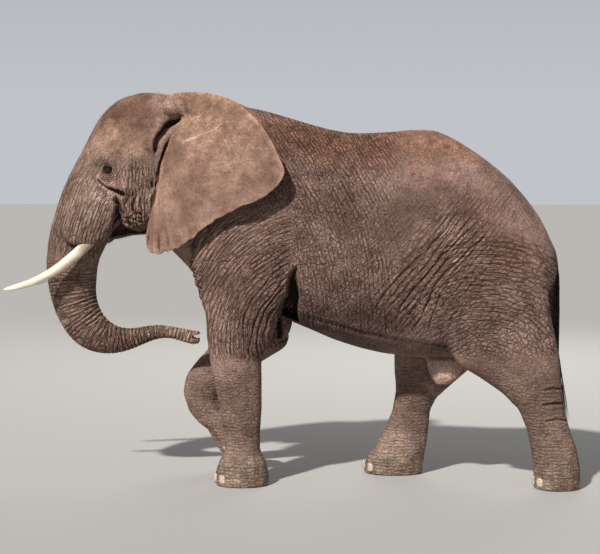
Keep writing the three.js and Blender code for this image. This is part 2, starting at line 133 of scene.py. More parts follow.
# Ears: each a broad thin flap of skin and cartilage, hung from a root behind the temple, with a
# shallow dish and a scalloped lower rim. Made as closed sheets, to be grown into the hide.
# Ears, tusks, nails and tail wires are drawn about another middle, and SHIFT moves them along X.
SHIFT = 0.07392
SIDES = ((-1, "left"), (1, "right"))
EAR_THICK = (0.034, 0.017)
EAR_BOW = 0.04
EAR_ROOT = [
    (-1.120, 0.185, 3.270), (-1.010, 0.215, 3.200), (-0.990, 0.235, 3.110), (-1.060, 0.250, 3.000),
    (-1.110, 0.262, 2.870), (-1.170, 0.275, 2.680), (-1.205, 0.285, 2.520), (-1.238, 0.292, 2.370),
]
EAR_EDGE = [
    (-1.135, 0.225, 3.312), (-0.950, 0.300, 3.322), (-0.730, 0.385, 3.304), (-0.480, 0.505, 3.216),
    (-0.262, 0.590, 3.010), (-0.118, 0.625, 2.750), (-0.092, 0.632, 2.612), (-0.240, 0.622, 2.450),
    (-0.560, 0.592, 2.306), (-0.755, 0.565, 2.185), (-0.940, 0.530, 2.040), (-1.060, 0.480, 1.990),
    (-1.180, 0.440, 1.962), (-1.258, 0.402, 1.998), (-1.278, 0.384, 2.120),
]


def through(points, t):
    """Catmull-Rom curve through points, at shares t of the way: the cubic between each pair whose
    end slopes are half the chord from the point before to the point after."""
    p = np.asarray(points, float)
    p = np.vstack([2 * p[0] - p[1], p, 2 * p[-1] - p[-2]])
    at = np.clip(np.asarray(t, float), 0, 1) * (len(p) - 3)
    i = np.minimum(at.astype(int), len(p) - 4)
    f = (at - i)[..., None]
    a, b, c, d = p[i], p[i + 1], p[i + 2], p[i + 3]
    return 0.5 * (2 * b + (c - a) * f + (2 * a - 5 * b + 4 * c - d) * f**2
                  + (3 * b - 3 * c + d - a) * f**3)


def ramp(x, low, high):
    """0 at low, 1 at high, and between them the S-curve t squared times 3 less 2 t."""
    t = np.clip((x - low) / (high - low), 0, 1)
    return t * t * (3 - 2 * t)


def grid(u_end, u_count, v_end, v_count):
    """Two parameters in even steps from 0 to their ends, as a pair of grids."""
    return np.meshgrid(np.linspace(0, u_end, u_count), np.linspace(0, v_end, v_count),
                       indexing="ij")


def quads(rows, columns, start=0):
    """Corner numbers of the squares of a grid."""
    i, j = np.meshgrid(np.arange(rows - 1), np.arange(columns - 1), indexing="ij")
    a = (start + i * columns + j).ravel()
    return np.stack([a, a + columns, a + columns + 1, a + 1], axis=1)


def make_mesh(name, points, faces):
    """A mesh of four-cornered faces from arrays, doubles merged and faces turned outwards."""
    mesh = bpy.data.meshes.new(name)
    mesh.from_pydata(points.reshape(-1, 3).tolist(), [], faces.tolist())
    bm = bmesh.new()
    bm.from_mesh(mesh)
    bmesh.ops.remove_doubles(bm, verts=bm.verts, dist=1e-5)
    bmesh.ops.recalc_face_normals(bm, faces=bm.faces)
    bm.to_mesh(mesh)
    bm.free()
    return mesh


def ear_sheet(side):
    """Point (u, v): u runs along the root from crown to lobe, v from the root out to the rim. The
    straight line from root to rim, bowed outwards by a sine hill, waved by sums of sines that make
    the scallops of the lower rim and faint ribs, and thinning towards the rim."""
    u, v = grid(1, 161, 1, 81)
    root = through(EAR_ROOT, u)
    rim = through(EAR_EDGE, u)
    middle = root + (rim - root) * v[..., None]
    middle[..., 1] += EAR_BOW * np.sin(np.pi * v) * np.sin(np.pi * u)
    low = ramp(u, 0.45, 0.62)
    scallop = np.sin(u * 118) * 0.6 + np.sin(u * 71 + 1.3) * 0.4
    middle[..., 1] += 0.009 * scallop * low * ramp(v, 0.35, 1.0)
    middle[..., 2] += 0.0075 * (scallop + 0.7 * np.sin(u * 211)) * low * ramp(v, 0.8, 1.0)
    rib = np.sin(u * 43 + 1.2 * np.sin(u * 9)) + 0.6 * np.sin(u * 67 + 2 * v)
    middle[..., 1] += 0.0035 * rib * np.sin(np.pi * v)
    thick = 0.5 * (EAR_THICK[0] + (EAR_THICK[1] - EAR_THICK[0]) * v)
    outer, inner = middle.copy(), middle.copy()
    outer[..., 1] += thick
    inner[..., 1] -= thick
    points = np.stack([outer, inner])
    points[..., 0] += SHIFT
    points[..., 1] *= side
    rows, columns = u.shape
    first = np.arange(rows) * columns
    loop = np.concatenate([first, (rows - 1) * columns + np.arange(1, columns),
                           first[::-1][1:] + columns - 1, np.arange(columns)[::-1][1:]])
    wall = np.stack([loop[:-1], loop[1:], loop[1:] + rows * columns, loop[:-1] + rows * columns], 1)
    faces = np.vstack([quads(rows, columns), quads(rows, columns, rows * columns), wall])
    return make_mesh("ear_sheet", points, faces)


# Hide: one unbroken skin over the whole animal, drawn from its solid parts, grown together and
# eased where limb meets body. Its points are then moved for each fold, hollow and lid.
SKIN_CELL = 0.009
FLESH = [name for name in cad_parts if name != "tail_tuft" and name.startswith((
    "foreleg", "hindleg", "trunk", "head", "neck", "chest", "belly", "rump", "lower_jaw",
    "prepuce", "tail"))]
# How far the facets of each part are eased, as a share of the most.
EASE = {"chest": 1.0, "belly": 1.0, "rump": 1.0, "neck": 0.9, "head": 0.36, "trunk_upper": 0.3,
        "trunk_bend": 0.35, "trunk_lower": 0.35, "trunk_tip": 0.14, "lower_jaw": 0.2,
        "prepuce": 0.12, "tail": 0.04, "hindleg_upper": 1.0, "foreleg_upper": 0.8}
OTHER_EASE, EAR_EASE, EYE_EASE, FILLING_EASE = 0.2, 0.04, 0.3, 0.7
EASE_SPREAD, EASE_ROUNDS = 50, 230
SWELL = 0.001
EYE_SHRINK = 0.004


def store(mesh, name, kind, values):
    """Keeps a value, a vector or a colour for each point of a mesh under a name."""
    key = {"FLOAT": "value", "FLOAT_VECTOR": "vector", "FLOAT_COLOR": "color"}[kind]
    data = mesh.attributes.new(name, kind, "POINT").data
    data.foreach_set(key, np.asarray(values, np.float32).ravel())


def labelled(mesh, ease, swell, **labels):
    """A merged copy of a mesh, swollen so that neighbours overlap, with its labels at each point."""
    bm = bmesh.new()
    bm.from_mesh(mesh)
    bmesh.ops.remove_doubles(bm, verts=bm.verts, dist=2e-5)
    for vert in bm.verts:
        vert.co += vert.normal * swell
    copy = bpy.data.meshes.new("part")
    bm.to_mesh(copy)
    bm.free()
    for label, value in {"ease": ease, "ear": 0, "limb": 0, "snout": 0, **labels}.items():
        store(copy, label, "FLOAT", np.full(len(copy.vertices), value))
    return copy


def values_of(collection, key, width=1):
    """A mesh's values as one array, a row to each point or edge when it has a width."""
    kind = np.int32 if key == "vertices" else np.float32
    out = np.empty(len(collection) * width, kind)
    collection.foreach_get(key, out)
    out = out if kind == np.int32 else out.astype(float)
    return out.reshape(-1, width) if width > 1 else out


def blob(at, half):
    """A closed ellipsoid: its half sizes times the unit ball, of angles u round and v down."""
    u, v = grid(2 * np.pi, 33, np.pi, 17)
    ball = np.stack([np.cos(u) * np.sin(v), np.sin(u) * np.sin(v), np.cos(v)], axis=-1)
    return make_mesh("blob", np.array(at) + np.array(half) * ball, quads(33, 17))


# Gristle over each ear root, and the folds of skin between the buttocks under the tail.
FILLING = [((-0.985, side * 0.235, 3.205), (0.120, 0.060, 0.075)) for side in (-1, 1)]
FILLING += [((2.165, 0.0, 1.62), (0.115, 0.085, 0.42)), ((2.10, 0.0, 1.30), (0.10, 0.08, 0.36))]
pieces = []
for name in FLESH:
    ease = EASE.get(name.replace("_left", "").replace("_right", ""), OTHER_EASE)
    pieces.append(labelled(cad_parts[name].data, ease, SWELL, limb=float("leg_" in name),
                           snout=float(name.startswith("trunk_"))))
for side, _ in SIDES:
    pieces.append(labelled(ear_sheet(side), EAR_EASE, 0.0, ear=1.0))
for side, name in SIDES:
    pieces.append(labelled(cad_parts[f"eye_{name}"].data, EYE_EASE, -EYE_SHRINK))
for at, half in FILLING:
    pieces.append(labelled(blob(at, half), FILLING_EASE, 0.0))
bm = bmesh.new()
for piece in pieces:
    bm.from_mesh(piece)
skin = bpy.data.meshes.new("hide")
bm.to_mesh(skin)
bm.free()
hide = bpy.data.objects.new("hide", skin)
bpy.context.collection.objects.link(hide)
bpy.context.view_layer.objects.active = hide
hide.select_set(True)
skin.remesh_voxel_size = SKIN_CELL
skin.use_remesh_preserve_attributes = True
bpy.ops.object.voxel_remesh()
skin = hide.data


def links(mesh):
    """Every point's neighbours in one run, where each point's share starts, and how many it has."""
    edges = values_of(mesh.edges, "vertices", 2)
    both = np.vstack([edges, edges[:, ::-1]])
    both = both[np.argsort(both[:, 0], kind="stable")]
    starts = np.flatnonzero(np.r_[True, np.diff(both[:, 0]) > 0])
    return both[:, 1], starts, np.diff(np.r_[starts, len(both)])


def spread(values, rounds):
    """Gives each point the mean of its neighbours' values, round after round."""
    near, starts, degree = joined
    for _ in range(rounds):
        values = (np.add.reduceat(values[near], starts, axis=0).T / degree).T
    return values


def eased(points, share, rounds):
    """Takes places towards their neighbours' mean by the share at each point, in even levels."""
    levels = 24
    group = hide.vertex_groups.new(name="share")
    level = np.round(np.clip(share, 0, 1) * levels).astype(int)
    for step in range(1, levels + 1):
        group.add(np.flatnonzero(level == step).tolist(), step / levels, "REPLACE")
    skin.vertices.foreach_set("co", points.astype(np.float32).ravel())
    smooth = hide.modifiers.new("smooth", "SMOOTH")
    smooth.factor = 1.6
    smooth.iterations = rounds
    smooth.vertex_group = "share"
    moved = hide.evaluated_get(bpy.context.evaluated_depsgraph_get()).data
    out = values_of(moved.vertices, "co", 3)
    hide.modifiers.remove(smooth)
    hide.vertex_groups.remove(group)
    return out


joined = links(skin)
points = values_of(skin.vertices, "co", 3)
ease = spread(values_of(skin.attributes["ease"].data, "value"), EASE_SPREAD)
ease *= np.where(points[:, 0] < -0.85, 1.0, 0.25 + 0.75 * ramp(points[:, 0], -0.65, -0.5))
soft = eased(points, ease, EASE_ROUNDS)
# what easing took away is eased in turn and given back, so that limbs and back keep their fullness
points = soft + eased(points - soft, ease, EASE_ROUNDS // 2)
skin.vertices.foreach_set("co", points.astype(np.float32).ravel())


def normals():
    """Each point's direction outwards."""
    skin.update()
    return values_of(skin.vertices, "normal", 3)


def place(new):
    """Puts the points where the array says."""
    skin.vertices.foreach_set("co", new.astype(np.float32).ravel())
    skin.update()


def drift(p, scale, seed):
    """Smooth wandering values, mostly from -1 to 1: the sum of seven sine waves over 3.2. They run
    in random directions, about one wave to each scale."""
    rng = np.random.default_rng(seed)
    total = np.zeros(len(p))
    for _ in range(7):
        way = rng.normal(size=3)
        way *= 2 * np.pi * rng.uniform(0.6, 1.5) / (scale * np.linalg.norm(way))
        total += np.sin(p @ way + rng.uniform(0, 6.28))
    return total / 3.2


def hump(x, z, at, half, tilt=0.0, power=1.0):
    """1 at a place in side view, falling off as e to minus a power of the squared distance, which
    is measured in half sizes along the hump's own tilted axes."""
    c, s = math.cos(tilt), math.sin(tilt)
    dx, dz = x - at[0], z - at[1]
    u, w = (dx * c + dz * s) / half[0], (dz * c - dx * s) / half[1]
    return np.exp(-(u * u + w * w) ** power)


def from_line(x, z, line):
    """Distance in side view from each point to a broken line, and the share of it passed there."""
    line = np.asarray(line, float)
    runs = np.hypot(*np.diff(line, axis=0).T)
    passed = np.r_[0, np.cumsum(runs)]
    best, share = np.full(len(x), 1e3), np.zeros(len(x))
    for (a, b), run, before in zip(zip(line[:-1], line[1:]), runs, passed):
        t = np.clip(((x - a[0]) * (b - a)[0] + (z - a[1]) * (b - a)[1]) / run**2, 0, 1)
        far = np.hypot(x - a[0] - t * (b - a)[0], z - a[1] - t * (b - a)[1])
        share = np.where(far < best, (before + t * run) / passed[-1], share)
        best = np.minimum(best, far)
    return best, share


def valley(s):
    """Sharp valleys at whole numbers between rounded ridges: 1 at the bottom, 0 on the ridge."""
    return (1 - np.abs(np.sin(np.pi * s))) ** 2


# The broad forms, pressed in or out: armpit, hip, flank, temple and muscle. Each row gives the place
# and half sizes in side view, the tilt and the height. The armpit's rows give a level, its front
# edge and its back edge.
EYE = np.mean(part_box("eye_right"), axis=0)
ARMPIT = [(1.92, 0.078, 0.079), (1.87, 0.062, 0.082), (1.722, 0.012, 0.080), (1.58, -0.045, 0.074),
          (1.45, -0.085, 0.068), (1.30, -0.10, 0.060), (1.15, -0.14, 0.050)]
FORMS = [
    ((1.74, 2.50), (0.17, 0.12), -0.6, 0.022), ((1.46, 2.36), (0.24, 0.13), 0.7, -0.024),
    ((-0.20, 1.78), (0.20, 0.30), -0.5, 0.018), ((1.75, 1.45), (0.30, 0.34), 0.0, 0.016),
    ((-1.36, 2.93), (0.13, 0.11), 0.5, -0.030), ((-1.25, 2.99), (0.10, 0.07), 0.6, -0.012),
    ((-1.60, 2.775), (0.11, 0.045), 0.35, 0.012), ((-1.50, 2.60), (0.08, 0.05), -0.4, -0.010),
    ((-1.43, 2.71), (0.05, 0.09), 0.0, -0.008), ((-1.38, 2.53), (0.16, 0.05), -0.25, 0.016),
]
x, z = points[:, 0], points[:, 2]
facing = normals()
side = np.sign(points[:, 1])
outward = ramp(facing[:, 1] * side, 0.0, 0.5)
ear = spread(values_of(skin.attributes["ear"].data, "value"), 6)
level, front, back = np.array(ARMPIT)[::-1].T
x = x + 0.014 * drift(points, 0.28, 9)
inside = ramp(x, np.interp(z, level, front) - 0.016, np.interp(z, level, front) + 0.03)
inside *= ramp(x, np.interp(z, level, back) + 0.030, np.interp(z, level, back) - 0.02)
inside *= (1 - ear) * ramp(np.abs(points[:, 1]), 0.16, 0.22) * ramp(z, 1.16, 1.25)
points[:, 1] -= side * inside * 0.20 * ramp(z, 1.90, 1.66)
amount = sum(hump(x, z, at, half, tilt, 1.3) * height for at, half, tilt, height in FORMS)
points += facing * (amount * outward * (1 - ear))[:, None]
# The jaw is narrower than the cheek above it, so it lies in the shade under the mouth's corner.
JAW_SHADE = [(-1.60, 2.09), (-1.52, 2.35), (-1.47, 2.35), (-1.435, 2.20), (-1.31, 2.150),
             (-1.24, 2.175), (-1.10, 2.19)]
x, y, z = points[:, 0], np.abs(points[:, 1]), points[:, 2]
brink = np.interp(x, *np.array(JAW_SHADE).T)
under = ramp(z, brink + 0.014, brink - 0.030) * ramp(x - 0.288 * (z - 2.03), -1.592, -1.556)
under *= ramp(x, -1.04, -1.14) * ramp(y, 0.05, 0.12) * ramp(z, 1.98, 2.02) * (1 - ear)
points[:, 1] -= side * under * np.clip(y - 0.055, 0, 0.10)

# Finer points are set in where the small forms need them: about the eye twice, and once at the
# ear's root fold and the trunk's fingers.
for radius, folds_too in ((0.135, True), (0.062, False)):
    x, y, z = points[:, 0], np.abs(points[:, 1]), points[:, 2]
    chosen = (np.hypot(x - EYE[0], z - EYE[2]) < radius) & (y > 0.2)
    if folds_too:
        chosen |= (np.abs(x + 1.03) < 0.14) & (np.abs(z - 2.93) < 0.24) & (y > 0.18) & (y < 0.36)
        chosen |= (x > -0.90) & (x < -0.79) & (y < 0.1) & (np.abs(z - 1.23) < 0.12)
    place(points)
    for collection in (skin.edges, skin.polygons):
        collection.foreach_set("select", np.zeros(len(collection), bool))
    skin.vertices.foreach_set("select", chosen)
    ends = values_of(skin.edges, "vertices", 2)
    skin.edges.foreach_set("select", chosen[ends[:, 0]] & chosen[ends[:, 1]])
    bpy.ops.object.mode_set(mode="EDIT")
    bpy.ops.mesh.subdivide(number_cuts=1)
    bpy.ops.object.mode_set(mode="OBJECT")
    points = values_of(skin.vertices, "co", 3)
joined = links(skin)
label = {name: spread(values_of(skin.attributes[name].data, "value"), 6)
         for name in ("ear", "limb", "snout")}
ear = label["ear"]

# Lids: the skin is drawn over the eyeball like a thin shell and opened by an almond slit.
LID = 0.0036
LID_BLEND = 0.004
BALL = 0.024
OPENING = (0.0265, 0.0165, 0.0128)
x, y, z = points[:, 0], np.abs(points[:, 1]), points[:, 2]
side = np.sign(points[:, 1])
dx, dz = x - EYE[0], z - EYE[2]
reach = np.hypot(dx, dz)
at_eye = (reach < 0.2) & (y > 0.2)
ring = at_eye & (reach > 0.052) & (reach < 0.085)
plane = np.linalg.lstsq(np.c_[dx[ring], dz[ring], np.ones(ring.sum())], y[ring], rcond=None)[0]
flat = plane[0] * dx + plane[1] * dz + plane[2] - LID_BLEND
ball = abs(EYE[1]) + np.sqrt(np.maximum((BALL + LID)**2 - reach**2, 0))
shell = np.where(reach < BALL + LID, ball, 0)
lidded = np.logaddexp(flat / LID_BLEND, shell / LID_BLEND) * LID_BLEND
blend = ramp(reach, 0.062, 0.040) * at_eye
y = y + blend * (lidded - y)
# the folds of both lids and the rings of skin about the eye: radius, width, depth, the angle at
# their middle and how far they reach either way
turn = np.arctan2(dz, dx)
oval = np.hypot(dx / 1.18, dz + 0.004)
for radius, width, depth, middle, fan in (
        (0.0375, 0.0034, 0.0058, 1.6, 1.7), (0.0345, 0.0030, 0.0038, -1.6, 1.3),
        (0.0480, 0.0040, 0.0050, 1.8, 1.7), (0.0500, 0.0044, 0.0062, -1.4, 1.7),
        (0.0620, 0.0048, 0.0056, 2.1, 1.6), (0.0660, 0.0050, 0.0056, -1.2, 1.6),
        (0.0790, 0.0052, 0.0040, 2.5, 1.4), (0.0830, 0.0056, 0.0062, -1.3, 1.5),
        (0.0980, 0.0060, 0.0036, 2.8, 1.1), (0.1010, 0.0060, 0.0048, -1.1, 1.3),
        (0.1230, 0.0066, 0.0040, -1.5, 1.1)):
    away = np.abs((turn - middle + np.pi) % (2 * np.pi) - np.pi)
    wander = 0.003 * np.sin(turn * 3 + radius * 90)
    cut = np.exp(-((oval - radius - wander) / width)**2) - 0.35 * np.exp(
        -((oval - radius - wander - 2 * width) / (1.4 * width))**2)
    y = y - at_eye * 0.8 * depth * cut * ramp(away, fan, fan * 0.55)
across = np.clip(dx / OPENING[0], -1, 1)
shut = np.maximum(1 - across**2, 0)
high, low = OPENING[1] * shut**0.75, -OPENING[2] * shut
open_by = np.minimum(high - dz, dz - low) * (np.abs(dx) < OPENING[0])
opened = ramp(open_by, -0.0012, 0.0016) * at_eye * (reach < 0.04)
behind = abs(EYE[1]) + np.sqrt(np.maximum(BALL**2 - reach**2, 0)) - 0.009
y = y + opened * (np.minimum(behind, y) - y)
points[:, 1] = side * y

# Folds: each a broken line in side view, how wide and deep it is cut, how high its lip stands as a
# share of the depth, and the side it is on, or 0 for both.
FOLDS = [
    # where the ear's root meets the neck and the head
    ([(-0.905, 3.125), (-0.985, 3.085), (-1.045, 3.035), (-1.091, 2.954), (-1.117, 2.869),
      (-1.135, 2.793)], 0.022, 0.080, 0.15, 0),
    ([(-0.985, 2.975), (-1.055, 2.827), (-1.101, 2.726), (-1.115, 2.60), (-1.135, 2.472),
      (-1.172, 2.31)], 0.011, 0.026, 0.25, 0),
    # the slit on the cheek, the cheek's edge beside the trunk, and three small folds under it
    ([(-1.640, 2.600), (-1.585, 2.545), (-1.530, 2.512), (-1.479, 2.489), (-1.436, 2.466)],
     0.009, 0.016, 0.5, 0),
    ([(-1.540, 2.512), (-1.479, 2.487), (-1.430, 2.468), (-1.385, 2.452)], 0.021, 0.038, 0.4, 0),
    ([(-1.47, 2.47), (-1.449, 2.37), (-1.437, 2.302), (-1.476, 2.226), (-1.511, 2.141),
      (-1.563, 2.072)], 0.026, 0.050, 0.25, 0),
    ([(-1.30, 2.44), (-1.335, 2.36), (-1.31, 2.30), (-1.22, 2.29)], 0.013, 0.014, 0.4, 0),
    ([(-1.24, 2.45), (-1.26, 2.37), (-1.24, 2.30)], 0.011, 0.012, 0.4, 0),
    ([(-1.37, 2.44), (-1.39, 2.37), (-1.37, 2.31)], 0.011, 0.012, 0.4, 0),
    # behind the elbow
    ([(0.076, 1.867), (-0.041, 1.733), (-0.15, 1.591), (-0.226, 1.49), (-0.268, 1.39),
      (-0.302, 1.264), (-0.319, 1.154), (-0.293, 1.062)], 0.008, 0.008, 0.4, 0),
    ([(0.025, 1.667), (-0.075, 1.558), (-0.159, 1.432), (-0.201, 1.306), (-0.209, 1.18)],
     0.008, 0.008, 0.4, 0),
    ([(0.03, 1.75), (-0.10, 1.62), (-0.19, 1.47), (-0.238, 1.33), (-0.25, 1.20), (-0.235, 1.09)],
     0.008, 0.007, 0.4, 0),
    ([(-0.016, 1.90), (-0.158, 1.758), (-0.293, 1.582), (-0.368, 1.414), (-0.394, 1.204)],
     0.008, 0.006, 0.4, 0),
    # from hip to groin
    ([(1.577, 2.237), (1.39, 2.064), (1.244, 1.907), (1.088, 1.733), (0.957, 1.55),
      (0.875, 1.384)], 0.009, 0.007, 0.25, 0),
    ([(1.62, 2.19), (1.44, 2.03), (1.285, 1.872), (1.14, 1.69), (1.03, 1.50), (0.955, 1.33)],
     0.008, 0.005, 0.25, 0),
    ([(1.676, 2.155), (1.497, 2.006), (1.334, 1.841), (1.204, 1.659), (1.106, 1.468),
      (1.04, 1.302)], 0.009, 0.008, 0.25, 0),
    ([(1.483, 1.905), (1.352, 1.756), (1.254, 1.59), (1.189, 1.423), (1.15, 1.28)],
     0.008, 0.006, 0.25, 0),
    ([(1.391, 2.252), (1.145, 2.003), (0.939, 1.796), (0.774, 1.587), (0.675, 1.403)],
     0.008, 0.005, 0.25, 0),
    # behind the left hock
    ([(2.110, 0.845), (2.155, 0.850), (2.221, 0.857), (2.296, 0.841), (2.40, 0.82)],
     0.010, 0.009, 0.5, -1),
    ([(2.100, 0.720), (2.139, 0.722), (2.214, 0.731), (2.306, 0.723), (2.40, 0.70)],
     0.011, 0.011, 0.6, -1),
    ([(2.130, 0.580), (2.174, 0.587), (2.248, 0.605), (2.332, 0.580), (2.42, 0.55)],
     0.009, 0.008, 0.5, -1),
    # across the ear, and along the belly
    ([(-1.087, 2.592), (-0.985, 2.606), (-0.859, 2.590), (-0.741, 2.565), (-0.60, 2.56)],
     0.010, 0.0018, 0.3, 0),
    ([(0.10, 1.44), (0.354, 1.375), (0.606, 1.305), (0.899, 1.245), (1.191, 1.20), (1.40, 1.17)],
     0.020, 0.008, 0.3, 0),
]
place(points)
facing = normals()
outward = ramp(facing[:, 1] * side, 0.0, 0.45)
amount = np.zeros(len(points))
for line, width, depth, lip, which in FOLDS:
    lo, hi = np.min(line, axis=0) - 4 * width, np.max(line, axis=0) + 4 * width
    close = np.flatnonzero((x > lo[0]) & (x < hi[0]) & (z > lo[1]) & (z < hi[1]) & (y > 0.12)
                           & ((which == 0) | (side == which)))
    far, share = from_line(x[close] + 0.010 * drift(points[close], 0.22, 5), z[close], line)
    ends = np.minimum(ramp(share, -0.02, 0.16), ramp(share, 1.02, 0.84))
    thin = width * (0.55 + 0.45 * ends)
    cut = -np.exp(-(far / thin)**2) + lip * np.exp(-((far - 2.1 * thin) / (1.2 * thin))**2)
    amount[close] += depth * ends * cut * outward[close]
points += facing * amount[:, None]

# Ridges that run in families: rings of the trunk, arcs about elbow and knee, slants on the flank.
TRUNK = [(-1.70, 2.62), (-1.78, 2.34), (-1.846, 2.08), (-1.906, 1.90), (-1.916, 1.72),
         (-1.899, 1.555), (-1.846, 1.402), (-1.756, 1.278), (-1.631, 1.201), (-1.476, 1.184),
         (-1.333, 1.216), (-1.193, 1.260), (-1.067, 1.263), (-0.951, 1.240), (-0.863, 1.219),
         (-0.79, 1.215)]
TRUNK_LENGTH = float(np.hypot(*np.diff(np.array(TRUNK), axis=0).T).sum())
ELBOW = (0.318, 1.209)
KNEE = {-1: (1.645, 0.886), 1: (1.30, 0.90)}
SLANT = math.radians(50)


def flows(p):
    """For each point: metres along the trunk, the distances from elbow and knee with the angle
    round each, the distances across and along the slant of the flank, and the distance back along
    the body, bent forwards up the side."""
    x, z, side = p[:, 0], p[:, 2], np.sign(p[:, 1])
    _, share = from_line(x, z, TRUNK)
    knee_x = np.where(side < 0, KNEE[-1][0], KNEE[1][0])
    knee_z = np.where(side < 0, KNEE[-1][1], KNEE[1][1])
    return {
        "trunk": share * TRUNK_LENGTH,
        "elbow": np.hypot(x - ELBOW[0], z - ELBOW[1]),
        "elbow_turn": np.arctan2(z - ELBOW[1], ELBOW[0] - x),
        "knee": np.hypot(x - knee_x, z - knee_z),
        "knee_turn": np.arctan2(z - knee_z, knee_x - x),
        "across": z * math.cos(SLANT) - x * math.sin(SLANT),
        "along": x * math.cos(SLANT) + z * math.sin(SLANT),
        "steep": x + 0.242 * np.maximum(z - 1.4, 0)**2,
    }


def zones(p, ear, limb, snout):
    """How strongly each family of creases shows at each point, from 0 to 1."""
    x, z = p[:, 0], p[:, 2]
    flow = flows(p)
    bare = 1 - ear
    arm = ramp(x, 0.10, -0.02) * ramp(x, -0.95, -0.78) * ramp(z, 0.98, 1.15) * ramp(z, 2.45, 2.15)
    thigh = ramp(x, 1.0, 1.35) * ramp(flow["knee"], 1.36, 1.15) * ramp(z, 1.0, 1.2)
    flank = ramp(x, 0.06, 0.5) * ramp(x, 2.1, 1.7) * ramp(z, 1.18, 1.32) * ramp(z, 2.7, 2.3)
    deep = hump(x, z, (1.22, 1.83), (0.62, 0.30), SLANT, 1.2)
    steep = ramp(x, -0.55, -0.15) * ramp(x, 1.25, 0.7) * ramp(z, 1.2, 1.35) * (1 - arm)
    shin = limb * ramp(z, 1.12, 0.86)
    head = (1 - ramp(x, -1.22, -1.02)) * bare
    ring = snout * ramp(flow["trunk"], 0.55, 0.95)
    brow = head * ramp(z, 2.72, 3.0)
    high = z + 0.07 * drift(p, 0.22, 18)
    face = head * (1 - ring) * ramp(high, 2.98, 2.60) * ramp(x, -1.40, -1.52)
    cheek = head * ramp(high, 2.92, 2.52) * ramp(x, -1.53, -1.42)
    return {name: value * bare for name, value in dict(
        arm=arm, thigh=thigh, flank=flank, deep=deep, steep=steep, shin=shin, ring=ring,
        brow=brow, face=face, cheek=cheek).items()}


zone = zones(points, ear, label["limb"], label["snout"])
flow = flows(points)
wander = drift(points, 0.45, 11)
pucker = 0.6 + 0.4 * drift(points, 0.5, 12)
inner = ramp(x + 0.5 * z, -1.18, -0.98) * ramp(flow["trunk"], 0.8, 1.1)
# each family: its depth in metres, its zone, how many ridges lie before each point, and its shares
RIDGES = [
    (0.0075, "ring", flow["trunk"] / 0.036 + 0.25 * drift(points, 0.30, 13),
     (ramp(flow["trunk"], 2.55, 2.1), pucker, 1 + 1.3 * inner)),
    (0.0070, "arm", flow["elbow"] / 0.038 + 0.5 * wander, (pucker,)),
    (0.0040, "thigh", flow["knee"] / 0.045 + 0.6 * wander, (pucker, outward)),
    (0.0078, "deep", flow["across"] / 0.056 + 0.3 * wander, (outward,)),
    (0.0040, "deep", flow["along"] / 0.064 + 0.5 * wander, (outward, ramp(z, 1.95, 1.6))),
    (0.0028, "shin", z / 0.042 + 0.5 * drift(points, 0.2, 14), (pucker, ramp(z, 0.16, 0.30))),
    (0.0042, "steep", flow["steep"] / 0.045 + 0.5 * wander, (outward, pucker)),
]
amount = np.zeros(len(points))
for depth, name, before, shares in RIDGES:
    cut = depth * zone[name] * valley(before)
    for share in shares:
        cut = cut * share
    amount -= cut


def knobs(x, z, size, seed):
    """Rounded knobs with clefts between: the gap between the distances to the two nearest of a
    jittered grid of centres, 0 in a cleft and 1 on top."""
    rng = np.random.default_rng(seed)
    u, v = np.meshgrid(np.arange(x.min(), x.max() + size, size),
                       np.arange(z.min(), z.max() + size, size))
    centres = np.stack([u.ravel(), v.ravel()], 1)
    centres += rng.uniform(-0.42, 0.42, centres.shape) * size
    far = np.hypot(x[:, None] - centres[:, 0], z[:, None] - centres[:, 1])
    far.sort(axis=1)
    return np.clip((far[:, 1] - far[:, 0]) / (0.55 * size), 0, 1) ** 0.6


# Knobbly skin: the corner of the mouth below the cheek, and the breast. Each row gives the place,
# half sizes and tilt, the knobs' size and height, how far out they start, and the seed.
for at, half, tilt, size, height, inmost, seed in (
        ((-1.33, 2.245), (0.125, 0.085), 0.35, 0.046, 0.024, 0.1, 15),
        ((-0.79, 1.74), (0.075, 0.20), 0.25, 0.058, 0.016, 0.0, 16)):
    shown = hump(x, z, at, half, tilt, 2.0)
    close = np.flatnonzero((shown > 0.03) & (y > inmost))
    amount[close] += shown[close] * (height * knobs(x[close], z[close], size, seed) - 0.4 * height)
rucks = valley(x / 0.034 + 0.5 * drift(points, 0.12, 17))
amount -= 0.006 * zone["cheek"] * rucks * outward * ramp(z, 2.30, 2.40)
points += facing * amount[:, None]
points[:, 2] = np.maximum(points[:, 2], 0)
place(points)

# Hollows: how far each point lies below its neighbourhood, near and wide, kept for the finish.
# the finish darkens the hollows with dirt and painted shade and lightens the rises with a painted
# highlight
LOW_NEAR, LOW_WIDE = 0.0022, 0.0070
facing = normals()
low_near = np.sum((spread(points, 4) - points) * facing, axis=1)
low_wide = np.sum((spread(points, 24) - points) * facing, axis=1)
hollow = (np.clip(low_near / LOW_NEAR, -1, 1) + np.clip(low_wide / LOW_WIDE, -1, 1)) * 0.5
store(skin, "hollow", "FLOAT", hollow)

# The skin is thinned to fewer triangles, left finest where it folds most.
TRIANGLES = 194000
bpy.ops.object.mode_set(mode="EDIT")
bpy.ops.mesh.select_all(action="SELECT")
bpy.ops.mesh.quads_convert_to_tris()
bpy.ops.object.mode_set(mode="OBJECT")
thin = hide.modifiers.new("thin", "DECIMATE")
thin.ratio = TRIANGLES / len(skin.polygons)
bpy.ops.object.modifier_apply(modifier="thin")
skin = hide.data
skin.shade_smooth()
joined = links(skin)

